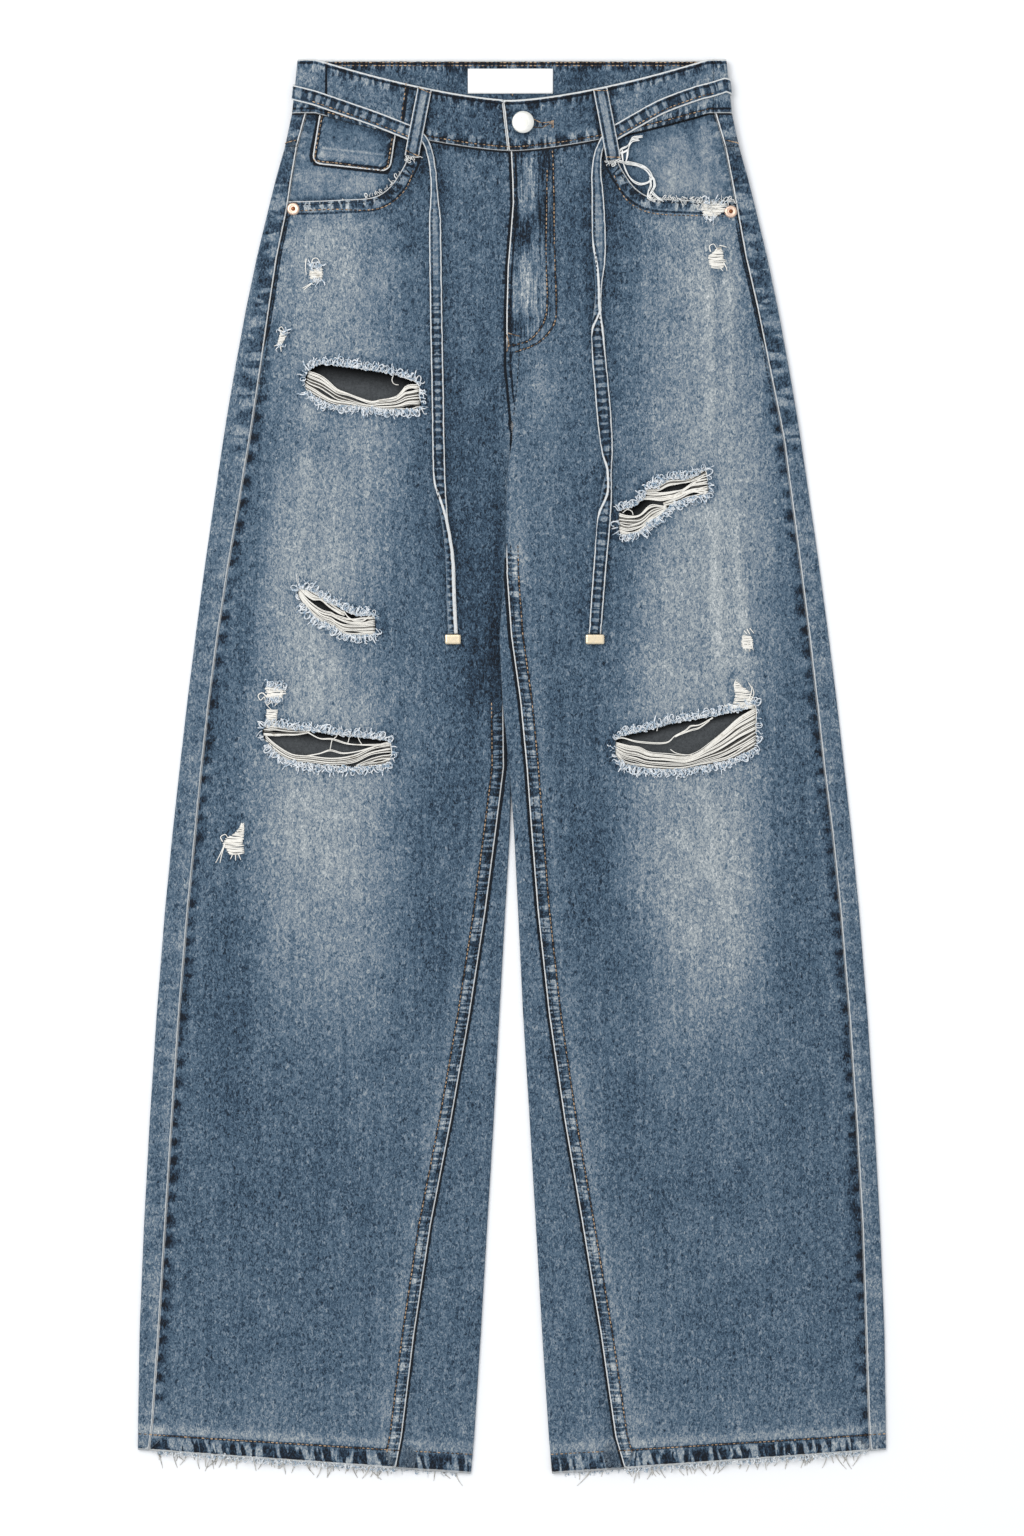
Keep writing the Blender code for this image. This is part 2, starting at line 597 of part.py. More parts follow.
def make_panels(side):
    """The front panel, the back panel and the yoke of one side."""
    fronts = [front_row(side, k) for k in range(len(SECTIONS))]
    front = loft("front_panel_" + side.name, fronts, side.sign, WALL)
    scoop = curve_through(SCOOP, 3)
    far, high = SCOOP_OUTSIDE
    outline = scoop + [(far, scoop[-1][1]), (far, high), (scoop[0][0], high)]
    cut(front, "scoop_" + side.name, [(side.sign * a, y) for a, y in outline])
    for name, rip in RIPS[side.name].items():
        cut(front, f"rip_{side.name}_{name}", curve_through(rip, 2, closed=True))
    backs = [back_row(side, k) for k in range(len(SECTIONS))]
    seam = YOKE_ROWS - 1
    yoke_rows = backs[:seam] + [moved(backs[seam], HALF_GAP)]
    back_rows = [moved(backs[seam], -HALF_GAP)] + backs[seam + 1:]
    yoke = loft("back_yoke_" + side.name, yoke_rows, side.sign, WALL)
    back = loft("back_panel_" + side.name, back_rows, side.sign, WALL)
    for piece in (front, yoke, back):
        finish(piece, "washed_denim")


def make_pockets(side):
    """The facing in the scooped opening, the coin pocket on it, and the patch pocket behind."""
    down, across = FACING_SPANS
    rows = []
    for i in range(down + 1):
        level = BAND_SEAM + (FACING_LOW - BAND_SEAM) * i / down
        outseam = column(SECTIONS, "outer", level) - column(side.legs, "outseam", level)
        row = []
        for k in range(across + 1):
            a = FACING_INNER + (outseam - HALF_GAP - FACING_INNER) * k / across
            high = band_seam(a) - SEAM_GAP
            y = high + (FACING_LOW - high) * i / down
            row.append((a, y, front_height(side, a, y) - WALL - LAYER_GAP))
        rows.append(row)
    finish(loft("pocket_facing_" + side.name, rows, side.sign, WALL), "worn_denim")
    if side.name == "right":
        down, across = COIN_SPANS
        rows = []
        for i in range(down + 1):
            outer = COIN_TOP[0] + (COIN_LOW[0] - COIN_TOP[0]) * i / down
            inner = COIN_TOP[1] + (COIN_LOW[1] - COIN_TOP[1]) * i / down
            row = []
            for k in range(across + 1):
                a = outer + (inner - outer) * k / across
                high = band_seam(a) - LAYER_GAP
                low = COIN_DEPTHS[0] + (COIN_DEPTHS[1] - COIN_DEPTHS[0]) * k / across
                y = high + (low - high) * i / down
                row.append((a, y, front_height(side, a, y)))
            rows.append(row)
        finish(loft("coin_pocket", rows, side.sign, WALL), "worn_denim")
    outline = [(side.sign * (POCKET_CENTRE[0] + x), POCKET_CENTRE[1] + y) for x, y in POCKET_CORNERS]
    finish(plate("back_pocket_" + side.name, outline, 0.0, WALL, garment), "washed_denim")


def make_front_band(side):
    """One half of the front waistband, from the lapped end to the joint near the side fold."""
    top = BAND_UNDER + BAND_HEIGHT
    rows = []
    for end, height in ((BAND_END_TOP, band_top), (BAND_END_SEAM, band_seam)):
        first = side.sign * end + HALF_GAP
        last = BAND_JOINTS[side.sign] - HALF_GAP
        row = []
        for k in range(BAND_SPANS + 1):
            a = first + (last - first) * k / BAND_SPANS
            row.append((a, height(a), top))
        rows.append(row)
    finish(loft("waistband_front_" + side.name, rows, side.sign, BAND_WALL), "washed_denim")


def make_back_band():
    """The back waistband, which wraps both side folds to the joints on the front."""
    radius = BAND_HEIGHT / 2
    rows = []
    for half, height in ((BAND_TOP_HALF, band_top), (BAND_SEAM_HALF, band_seam)):
        tangent = half - radius
        row = []
        for share in (0.0, 0.25, 0.5, 0.75, 1.0):
            a = BAND_JOINTS[-1] + HALF_GAP + (tangent - BAND_JOINTS[-1] - HALF_GAP) * share
            row.append((-a, height(a), BAND_UNDER + BAND_HEIGHT))
        for k in range(1, BAND_FOLD_STEPS + 1):
            angle = math.pi / 2 + k * math.pi / BAND_FOLD_STEPS
            x = -tangent + radius * math.cos(angle)
            row.append((x, height(half), BAND_UNDER + radius * (1.0 + math.sin(angle))))
        for k in range(1, BAND_SPANS + 1):
            row.append((-tangent + 2 * tangent * k / BAND_SPANS, height(half), BAND_UNDER))
        for k in range(1, BAND_FOLD_STEPS + 1):
            angle = -math.pi / 2 + k * math.pi / BAND_FOLD_STEPS
            x = tangent + radius * math.cos(angle)
            row.append((x, height(half), BAND_UNDER + radius * (1.0 + math.sin(angle))))
        for share in (0.5, 1.0):
            a = tangent + (BAND_JOINTS[1] + HALF_GAP - tangent) * share
            row.append((a, height(a), BAND_UNDER + BAND_HEIGHT))
        rows.append(row)
    finish(loft("waistband_back", rows, 1, BAND_WALL), "washed_denim")


def make_tie_belt():
    """The tie's stretch round the waist, from loop to loop by way of the back."""
    low = BAND_UNDER - SEAM_GAP - TIE_WALL
    high = BAND_UNDER + BAND_HEIGHT + SEAM_GAP + TIE_WALL
    radius = (high - low) / 2
    slant = (BAND_SEAM_HALF - BAND_TOP_HALF) / (BAND_TOP - BAND_SEAM)
    reach = BAND_SEAM_HALF - BAND_HEIGHT / 2 + slant * BAND_SEAM
    stations = []  # x, y, z, and the plan direction of the strip
    for side in SIDES:
        side_y = TIE_FRONT[side.name][-1][1] + TIE_SIDE_RISE
        route = TIE_FRONT[side.name] + [(side.sign * (reach - slant * side_y), side_y)]
        fold_across = Vector((-side.sign * slant, 1.0))
        part = []
        for k, (x, y) in enumerate(route):
            before, after = route[max(0, k - 1)], route[min(len(route) - 1, k + 1)]
            across = Vector((before[1] - after[1], after[0] - before[0])).normalized()
            if across.y < 0.0:
                across.negate()
            part.append((x, y, high, across if k < len(route) - 1 else fold_across))
        for k in range(1, BAND_FOLD_STEPS + 1):
            angle = math.pi / 2 - k * math.pi / BAND_FOLD_STEPS
            y = side_y + (TIE_BACK_HEIGHT - side_y) * k / BAND_FOLD_STEPS
            x = side.sign * (reach - slant * y + radius * math.cos(angle))
            part.append((x, y, low + radius * (1.0 + math.sin(angle)), fold_across))
        if side.sign < 0:
            stations = part + [(x, TIE_BACK_HEIGHT, low, Vector((0.0, 1.0))) for x in (-100.0, 0.0, 100.0)]
        else:
            stations += part[::-1]
    upper = [(x + d.x * TIE_WIDTH / 2, y + d.y * TIE_WIDTH / 2, z) for x, y, z, d in stations]
    lower = [(x - d.x * TIE_WIDTH / 2, y - d.y * TIE_WIDTH / 2, z) for x, y, z, d in stations]
    finish(loft("tie_belt", [upper, lower], 1, TIE_WALL), "washed_denim")


def make_tie_end(side):
    """One free end of the tie, lying down the front from its loop, and its metal tip."""
    rows = TIE_ENDS[side.name]
    heights = []
    for row in rows:
        a = side.sign * row.x
        panel = max(front_height(side, a + d, row.y) for d in (-row.width / 2, 0.0, row.width / 2))
        on_band = BAND_UNDER + BAND_HEIGHT + SEAM_GAP
        over_seam = smooth((row.y - TIE_STEP[0]) / (TIE_STEP[1] - TIE_STEP[0]))
        heights.append(max(panel + FREE_GAP, on_band * over_seam) + TIE_WALL)
    centres = [(row.x, row.y) for row in rows]
    widths = [row.width for row in rows]
    finish(strip("tie_end_" + side.name, centres, widths, heights, TIE_WALL), "washed_denim")
    size = TIP_SIZES[side.name]
    place = (rows[-1].x, rows[-1].y - LAYER_GAP - size[1] / 2)
    low = front_height(side, side.sign * place[0], place[1]) + LAYER_GAP
    finish(block("tie_tip_" + side.name, size, place, low, 1.2), "pale_brass")


def make_front_loop(side):
    """A belt loop on the front: flat at its sewn ends, raised over the tie between them."""
    band = BAND_UNDER + BAND_HEIGHT + SEAM_GAP + LOOP_WALL
    over_tie = band + TIE_WALL + SEAM_GAP
    (top_x, top_y), (low_x, low_y) = FRONT_LOOPS[side.name]
    panel = front_height(side, side.sign * low_x, low_y) + LAYER_GAP + LOOP_WALL
    stations = [(0.0, band), (0.18, band), (0.40, over_tie), (0.86, over_tie), (0.95, panel), (1.0, panel)]
    centres = [(top_x + (low_x - top_x) * s, top_y + (low_y - top_y) * s) for s, _ in stations]
    heights = [height for _, height in stations]
    piece = strip("belt_loop_front_" + side.name, centres, [LOOP_WIDTH] * len(stations), heights, LOOP_WALL)
    finish(piece, "worn_denim")


def make_back_loop(name, x):
    """A plain belt loop under the back of the waistband, with the tie running through it."""
    ends = BAND_UNDER - SEAM_GAP - LOOP_WALL
    stations = [(0.0, ends), (0.14, ends), (0.26, 0.0), (0.62, 0.0), (0.86, ends), (1.0, ends)]
    rows = []
    for share, height in stations:
        y = BACK_LOOP_TOP - BACK_LOOP_LENGTH * share
        rows.append([(x - LOOP_WIDTH / 2, y, height), (x + LOOP_WIDTH / 2, y, height)])
    piece = loft("belt_loop_back_" + name, rows, 1, LOOP_WALL)
    piece.modifiers["Wall"].offset = 1.0
    finish(piece, "worn_denim")


def make_trims():
    """The waist button, the pocket rivets and the bare label."""
    band = BAND_UNDER + BAND_HEIGHT
    button = [
        (0.0, 4.6), (4.2, 4.5), (5.2, 4.1), (6.6, 4.3), (7.8, 4.1), (BUTTON_RADIUS, 3.3), (8.2, 2.5),
        (7.0, 2.0), (3.2, 1.6), (3.2, 0.0), (0.0, 0.0),
    ]
    finish(turned("waist_button", button, BUTTON_PLACE, band + SEAM_GAP), "silver_metal")
    rivet = [
        (0.0, 1.9), (0.9, 1.8), (1.5, 1.0), (3.2, 1.1), (4.2, 0.9), (RIVET_RADIUS, 0.3), (4.5, 0.0),
        (0.0, 0.0),
    ]
    for side in SIDES:
        x, y = RIVET_PLACES[side.sign]
        base = max(front_height(side, abs(x) + d, y) for d in (-RIVET_RADIUS, 0.0, RIVET_RADIUS))
        finish(turned("pocket_rivet_" + side.name, rivet, (x, y), base + LAYER_GAP, 20), "rose_brass")
    low = BAND_UNDER + BAND_WALL + SEAM_GAP
    finish(block("neck_label", LABEL_SIZE, LABEL_CENTRE, low, 0.3), "label_cotton")


def make_material(name, colour, roughness, metallic):
    material = bpy.data.materials.new(name)
    material.use_nodes = True
    shader = material.node_tree.nodes["Principled BSDF"]
    shader.inputs["Base Color"].default_value = (*colour, 1.0)
    shader.inputs["Roughness"].default_value = roughness
    shader.inputs["Metallic"].default_value = metallic
    return material


for old in list(bpy.data.objects):
    bpy.data.objects.remove(old)
garment = bpy.data.collections.new("ripped_jeans")
cutters = bpy.data.collections.new("cutters")
bpy.context.scene.collection.children.link(garment)
bpy.context.scene.collection.children.link(cutters)
materials = {name: make_material(name, *values) for name, values in MATERIALS.items()}

for one_side in SIDES:
    make_panels(one_side)
    make_pockets(one_side)
    make_front_band(one_side)
    make_tie_end(one_side)
    make_front_loop(one_side)
make_back_band()
make_tie_belt()
for loop_name, loop_x in BACK_LOOPS.items():
    make_back_loop(loop_name, loop_x)
make_trims()
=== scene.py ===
import json
import math
import random
import re
from functools import partial, reduce
import bmesh
import bpy
import numpy as np
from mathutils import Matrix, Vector, noise
from mathutils.bvhtree import BVHTree

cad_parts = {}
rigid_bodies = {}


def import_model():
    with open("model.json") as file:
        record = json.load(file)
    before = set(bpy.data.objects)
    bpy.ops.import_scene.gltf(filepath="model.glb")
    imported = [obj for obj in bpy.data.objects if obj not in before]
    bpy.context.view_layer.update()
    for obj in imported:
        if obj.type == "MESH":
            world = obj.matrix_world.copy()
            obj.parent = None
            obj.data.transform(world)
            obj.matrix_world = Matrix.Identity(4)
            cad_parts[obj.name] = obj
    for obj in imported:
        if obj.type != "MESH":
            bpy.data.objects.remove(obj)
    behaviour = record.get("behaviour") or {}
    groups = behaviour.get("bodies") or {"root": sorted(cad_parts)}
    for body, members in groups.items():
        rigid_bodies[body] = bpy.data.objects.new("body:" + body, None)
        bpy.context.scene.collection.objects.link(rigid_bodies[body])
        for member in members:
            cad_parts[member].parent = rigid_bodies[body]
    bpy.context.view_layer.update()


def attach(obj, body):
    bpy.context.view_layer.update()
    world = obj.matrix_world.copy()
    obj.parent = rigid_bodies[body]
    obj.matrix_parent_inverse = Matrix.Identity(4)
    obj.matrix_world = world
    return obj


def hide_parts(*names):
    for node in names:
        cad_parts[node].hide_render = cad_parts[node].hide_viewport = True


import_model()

# Ripped straight-leg jeans, flat on their back. Lengths are in millimetres unless a name ends in
# Metres, and the wearer's right side is at -X.
mm = 0.001
rng = random.Random(7)
print("jeans: frame loaded")


# View, floor and light

studio = {
    "cameraHeight": 3, "pictureHeight": 1.175, "pictureCentre": (0, -0.0008),
    "floorSize": 5, "floorColour": "#f6f6f6",
    "keyPower": 38, "keySize": 1.6, "keyPlace": (-1.3, 1, 2.6),
    "skyColour": "#f4f7fb", "skyStrength": 0.92,
}


def linear(code):
    parts = [int(code[k:k + 2], 16) / 255 for k in (1, 3, 5)]
    return tuple(p / 12.92 if p <= 0.04045 else ((p + 0.055) / 1.055) ** 2.4 for p in parts) + (1,)


def add(tree, kind, inputs=(), out=0, **settings):  # inputs go by name or number, or in order
    made = tree.nodes.new(kind if kind.startswith(("Geometry", "Function")) else "ShaderNode" + kind)
    for name, value in settings.items():
        setattr(made, name, value)
    for key, value in inputs.items() if isinstance(inputs, dict) else enumerate(inputs):
        if isinstance(value, bpy.types.NodeSocket):
            tree.links.new(value, made.inputs[key])
        else:
            isColour = isinstance(value, str) and value.startswith("#")
            made.inputs[key].default_value = linear(value) if isColour else value
    return made.outputs[out] if len(made.outputs) else made


rgba = {"out": 2, "data_type": "RGBA"}
soft = {"interpolation_type": "SMOOTHSTEP"}


def newMaterial(name):
    material = bpy.data.materials.new(name)
    material.use_nodes = True
    material.node_tree.nodes.clear()
    return material, partial(add, material.node_tree)


def endMaterial(node, colour, height, strength, depth, inputs):
    raised = node("Bump", {"Height": height, "Strength": strength, "Distance": depth * mm})
    shader = node("BsdfPrincipled", {"Base Color": colour, "Normal": raised, **inputs})
    node("OutputMaterial", {"Surface": shader})


def placed(name, data):
    thing = bpy.data.objects.new(name, data)
    bpy.context.scene.collection.objects.link(thing)
    return thing


bpy.context.scene.view_settings.view_transform = "Standard"
lens = bpy.data.cameras.new("overheadCamera")
lens.lens = 36 * studio["cameraHeight"] / studio["pictureHeight"]
lens.sensor_width = 36
lens.clip_end = 20
camera = placed("overheadCamera", lens)
camera.location = (*studio["pictureCentre"], studio["cameraHeight"])
bpy.context.scene.camera = camera

keyLight = bpy.data.lights.new("softKey", "AREA")
keyLight.energy = studio["keyPower"]
keyLight.size = studio["keySize"]
key = placed("softKey", keyLight)
key.location = studio["keyPlace"]
key.rotation_euler = Vector(studio["keyPlace"]).to_track_quat("Z", "Y").to_euler()

sky = bpy.data.worlds.new("studioSky")
sky.use_nodes = True
sky.node_tree.nodes["Background"].inputs["Color"].default_value = linear(studio["skyColour"])
sky.node_tree.nodes["Background"].inputs["Strength"].default_value = studio["skyStrength"]
bpy.context.scene.world = sky

# Painted studio board: matt, nearly white
boardMaterial, node = newMaterial("paintedStudioBoard")
mottle = node("TexNoise", {"Vector": node("TexCoord", out=3), "Scale": 3, "Detail": 2})
tint = node("Mix", {0: mottle, 6: studio["floorColour"], 7: "#fafafa"}, **rgba)
shader = node("BsdfPrincipled", {"Base Color": tint, "Roughness": 0.9})
node("OutputMaterial", {"Surface": shader})
floorMesh = bpy.data.meshes.new("floor")
reach = studio["floorSize"] / 2
floorMesh.from_pydata([(-reach, -reach, 0), (reach, -reach, 0), (reach, reach, 0), (-reach, reach, 0)],
                      [], [(0, 1, 2, 3)])
floorMesh.materials.append(boardMaterial)
floor = placed("floor", floorMesh)


# Form of the garment, the same rules as the solids

garment = {
    "wall": 1, "seamGap": 0.3, "layerGap": 0.5, "foldGap": 0.5, "crotch": 265, "foldStart": 261.5,
    "crownReach": 60, "liftFlat": 8, "liftEnd": 50, "yokeSeam": 473.5, "hem": -521.7,
}
band = {
    "top": 540, "seam": 498.8, "topDip": 31.2, "seamDip": 29, "dipReach": 150, "dipPower": 1.48,
    "under": 3, "height": 6, "wall": 2, "topHalf": 163.7, "seamHalf": 168,
    "jointRight": 141, "jointLeft": 154, "endTop": -6.9, "endSeam": -2.5,
}

# Heights along the garment, and what each column is there
heights = [498.5, 473.5, 450, 425, 390, 350, 305, 265, 255, 250, 225, 200, 183, 166, 150, 100, 50, 0,
           -50, -110, -190, -270, -350, -430, -500, -521.7]
body = {
    "outer": [168, 173.4, 180.2, 186.5, 194.9, 203.3, 211.6, 218.4, 219.9, 220.7, 224.5, 228.2, 230.7,
              233.1, 235.4, 242, 248.3, 254, 259.5, 265.4, 271.8, 277, 281.4, 284.7, 285.9, 286.1],
    "under": [3, 3, 2.2, 1.5, 1.5, 1.5, 1.5, 1.5, 1.5, 1.4, 0.6] + [0] * 15,
    "side": [5.5, 5, 4.5, 4.1, 3.7, 3.3] + [3] * 18 + [3.1, 3.2],
    "mid": [5.5] * 3 + [5.4] * 17 + [5.3] + [5.2] * 5,
    "inner": [5.5, 5.4, 5.2, 5, 4.8, 4.5, 4] + [3] * 17 + [3.1, 3.2],
    "frontDip": [29, 24, 19, 14, 8, 4] + [0] * 20,
    "backDip": [0, 32, 20, 10, 4] + [0] * 21,
    "fly": [-1, 0, 0.5, -1, -3.4, -4.4, -4.4, -0.6] + [0] * 18,
    "hemDrop": [0] * 23 + [4, 14, 18.3],
}
sides = {
    "right": {
        "sign": -1,
        "outseam": [10.9, 9.4, 12.1, 14.6, 15.6, 17.9, 19.7, 20.3, 20.2, 20.2, 19.7, 19.4, 18.9, 18.4, 18,
                    17, 16.7, 16.9, 17.6, 17.6, 17.3, 17.1, 16.5, 14.7, 11, 8.6],
        "inner": [0] * 7 + [0.2, 0.2, 0.2, 0, -1.2, -1.6, -1.9, -2, -2.3, -1.5, 0.2, 1.6, 5.2, 9.7,
                              14, 18.9, 23.9, 29, 31.4],
        "inseam": [0] * 12 + [0.8, 1.7, 3.4, 8.9, 8.9, 6.6, 11.5, 15.7, 23.5, 33.2, 43.9, 51.5, 55.9, 58.3],
        "lift": [0] * 26,
    },
    "left": {
        "sign": 1,
        "outseam": [13, 10.9, 12.9, 14.6, 16.6, 15.8, 15, 13.6, 13.2, 13, 13.5, 13.8, 14.1, 14.3, 14.5,
                    14.8, 15.3, 15.5, 14.7, 14.4, 14, 13.8, 13.6, 14.1, 13.1, 12],
        "inner": [0] * 7 + [0.2, 0.2, 0.2, -3.8, -4.7, -5.2, -5.7, -6, -9.7, -7.3, -2.1, 1.6, 4.6, 8.5,
                              13.5, 18.2, 23.1, 28.3, 30.6],
        "inseam": [0] * 12 + [0.8, 1.6, 2.4, 9.7, 14.3, 13.9, 13.9, 15.7, 20.6, 27.4, 36.4, 45.4, 51.4, 56.4],
        "lift": [0] * 8 + [2.6] + [3.6] * 9 + [1.2] + [0] * 7,
    },
}
for name, side in sides.items():
    side.update(name=name, label=name.title())


def at(values, y):  # a column's value at the height y
    return np.interp(y, heights[::-1], values[::-1])


def between(first, last, share):
    return first + (last - first) * share


def smooth(share):
    share = np.clip(share, 0, 1)
    return share * share * (3 - 2 * share)


def runningTotal(steps):
    return np.concatenate([[0], np.cumsum(steps)])


def bell(away, reach):
    return np.exp(-(away / reach) ** 2)


def dip(a):
    return 1 - np.minimum(1, np.maximum(0, a) / band["dipReach"]) ** band["dipPower"]


def bandTop(a):
    return band["top"] - band["topDip"] * dip(a)


def bandSeam(a):
    return band["seam"] - band["seamDip"] * dip(a)


def undersideAt(side, a, y):
    gone = smooth((a - garment["liftFlat"]) / (garment["liftEnd"] - garment["liftFlat"]))
    return at(body["under"], y) + at(side["lift"], y) * (1 - gone)


def topAt(side, a, y):  # height of the front's upper surface
    sideH, midH, innerH = at(body["side"], y), at(body["mid"], y), at(body["inner"], y)
    flatEnd = np.where(np.asarray(y) >= garment["crotch"], 0.15, at(side["inner"], y) + innerH / 2)
    fromSide = at(body["outer"], y) - sideH / 2 - a
    tube = midH - (midH - sideH) * (1 - smooth(fromSide / garment["crownReach"]))
    tube = tube - (midH - innerH) * (1 - smooth((a - flatEnd) / garment["crownReach"]))
    return undersideAt(side, a, y) + tube


def rowHeight(side, h, a, onFront):
    outer = at(body["outer"], h)
    if onFront:
        hang = at(body["frontDip"], h) * dip(a)
    else:
        hang = at(body["backDip"], h) * (1 - a / outer)
    share = np.clip((outer - a) / (outer - at(side["inner"], h)), 0, 1)
    return h - hang - at(body["hemDrop"], h) * share


def foldAt(side, h, arcs):  # points round a leg's inner fold, by their arc from its apex
    radius = at(body["inner"], h) / 2
    quarter = math.pi * radius / 2
    centre = at(side["inner"], h) + radius
    angle = np.clip(arcs / radius, -math.pi / 2, math.pi / 2)
    isRound = np.abs(arcs) < quarter
    a = np.where(isRound, centre - radius * np.cos(angle), centre + np.abs(arcs) - quarter)
    y = rowHeight(side, h, a, True)
    z = np.where(arcs > 0, topAt(side, a, y), undersideAt(side, a, y))
    z = np.where(isRound, undersideAt(side, centre, h) + radius * (1 + np.sin(angle)), z)
    return a, y, z


def openRadians(h):
    return math.radians(float(np.interp(h, [255, 265], [0, 90])))


def seamGapAt(side, h):
    quarter = math.pi * at(body["inner"], h) / 4
    return garment["foldGap"] if at(side["inseam"], h) < quarter else garment["seamGap"] / 2


def spread(total, count):  # distances from an edge, close together at first
    near = np.array([0.0, 0.4, 1.0, 1.8, 2.8, 4.0])
    return np.concatenate([near, np.linspace(4, total, count - 5)[1:]])


def stations(top, low, step):
    rows = np.linspace(top, low, int(round((top - low) / step)) + 1)
    keep = (rows > garment["crotch"] + 0.4) | (rows < garment["foldStart"] - 0.4)
    extra = [h for h in (garment["crotch"], garment["foldStart"]) if low < h < top]
    return np.array(sorted(list(rows[keep]) + extra, reverse=True))


def frontRow(side, h, count):
    end = at(body["outer"], h) - at(side["outseam"], h) - garment["seamGap"] / 2
    if h >= garment["crotch"]:
        start = side["sign"] * at(body["fly"], h) + garment["seamGap"] / 2
        along = spread(end - start, count)
        a = start + along
        y = rowHeight(side, h, a, True)
        return a, y, topAt(side, a, y), along
    radius = at(body["inner"], h) / 2
    start = at(side["inseam"], h) + openRadians(h) * radius + seamGapAt(side, h)
    last = end - at(side["inner"], h) - radius + math.pi * radius / 2
    along = spread(last - start, count)
    return (*foldAt(side, h, start + along), along)


def backRow(side, h, count):
    radius = at(body["side"], h) / 2
    tangent = at(body["outer"], h) - radius
    start = at(body["outer"], h) - at(side["outseam"], h) + garment["seamGap"] / 2
    a = start + (tangent - start) * np.linspace(0, 1, 8)
    y = rowHeight(side, h, a, True)
    z = topAt(side, a, y)
    angle = math.pi / 2 - np.linspace(0, math.pi, 9)[1:]
    base = undersideAt(side, tangent, h)
    a = np.concatenate([a, tangent + radius * np.cos(angle)])
    y = np.concatenate([y, np.full(8, h)])
    z = np.concatenate([z, base + radius * (1 + np.sin(angle))])
    if h >= garment["crotch"]:
        inner = np.linspace(1.95, 0.15, 7)
        innerY = rowHeight(side, h, inner, False)
        innerZ = undersideAt(side, inner, innerY)
    else:
        quarter = math.pi * at(body["inner"], h) / 4
        end = at(side["inseam"], h) - openRadians(h) * at(body["inner"], h) / 2 - seamGapAt(side, h)
        if end < quarter:
            arcs = np.linspace(-quarter, end, 13)
        else:
            arcs = np.concatenate([np.linspace(-quarter, quarter, 9), np.linspace(quarter, end, 5)[1:]])
        inner, innerY, innerZ = foldAt(side, h, arcs)
    if h >= garment["crotch"]:  # as many points as below the crotch
        inner = np.concatenate([np.linspace(inner[0] + 6, inner[0], 7)[:-1], inner])
        innerY = rowHeight(side, h, inner, False)
        innerZ = undersideAt(side, inner, innerY)
    flat = np.linspace(tangent, inner[0], count)[1:-1]
    flatY = rowHeight(side, h, flat, False)
    a = np.concatenate([a, flat, inner])
    y = np.concatenate([y, flatY, innerY])
    z = np.concatenate([z, undersideAt(side, flat, flatY), innerZ])
    return a, y, z, runningTotal(np.hypot(np.diff(a), np.diff(z)))


def distanceTo(x, y, line, closed=False):  # nearest distance to a line, and how far along it that is
    best = np.full(np.shape(x), 1e9)
    place = np.zeros(np.shape(x))
    nearest = [np.zeros(np.shape(x)), np.zeros(np.shape(x))]
    done = 0
    ends = line[1:] + (line[:1] if closed else [])
    for (x0, y0), (x1, y1) in zip(line, ends):
        span = math.hypot(x1 - x0, y1 - y0)
        if span == 0:
            continue
        t = np.clip(((x - x0) * (x1 - x0) + (y - y0) * (y1 - y0)) / span ** 2, 0, 1)
        px, py = x0 + t * (x1 - x0), y0 + t * (y1 - y0)
        away = np.hypot(x - px, y - py)
        closer = away < best
        best = np.where(closer, away, best)
        place = np.where(closer, done + t * span, place)
        nearest = [np.where(closer, px, nearest[0]), np.where(closer, py, nearest[1])]
        done += span
    return best, place, nearest


def insideOf(x, y, outline):
    hit = np.zeros(np.shape(x), dtype=bool)
    for (x0, y0), (x1, y1) in zip(outline, outline[1:] + outline[:1]):
        if y0 == y1:
            continue
        crosses = ((y0 > y) != (y1 > y)) & (x < (x1 - x0) * (y - y0) / (y1 - y0) + x0)
        hit ^= crosses
    return hit


def curveThrough(points, steps, closed=False):  # a smooth line through points of any number of columns
    points = [tuple(p) for p in points]
    count = len(points)
    line = []
    for i in range(count if closed else count - 1):
        if closed:
            four = [points[(i + k) % count] for k in (-1, 0, 1, 2)]
        else:
            four = [points[min(count - 1, max(0, i + k))] for k in (-1, 0, 1, 2)]
        for k in range(steps):
            t = k / steps
            line.append(tuple(
                0.5 * (2 * b + (c - a) * t + (2 * a - 5 * b + 4 * c - d) * t * t
                       + (3 * b - a - 3 * c + d) * t ** 3) for a, b, c, d in zip(*four)))
    if not closed:
        line.append(points[-1])
    return line


# What the cloth shows: rips, scooped pockets, creases and fades

scoopLine = [(77.5, 484), (79.5, 466), (86, 452.5), (95, 441), (107, 434.6), (128, 433),
             (154, 432), (176, 432)]

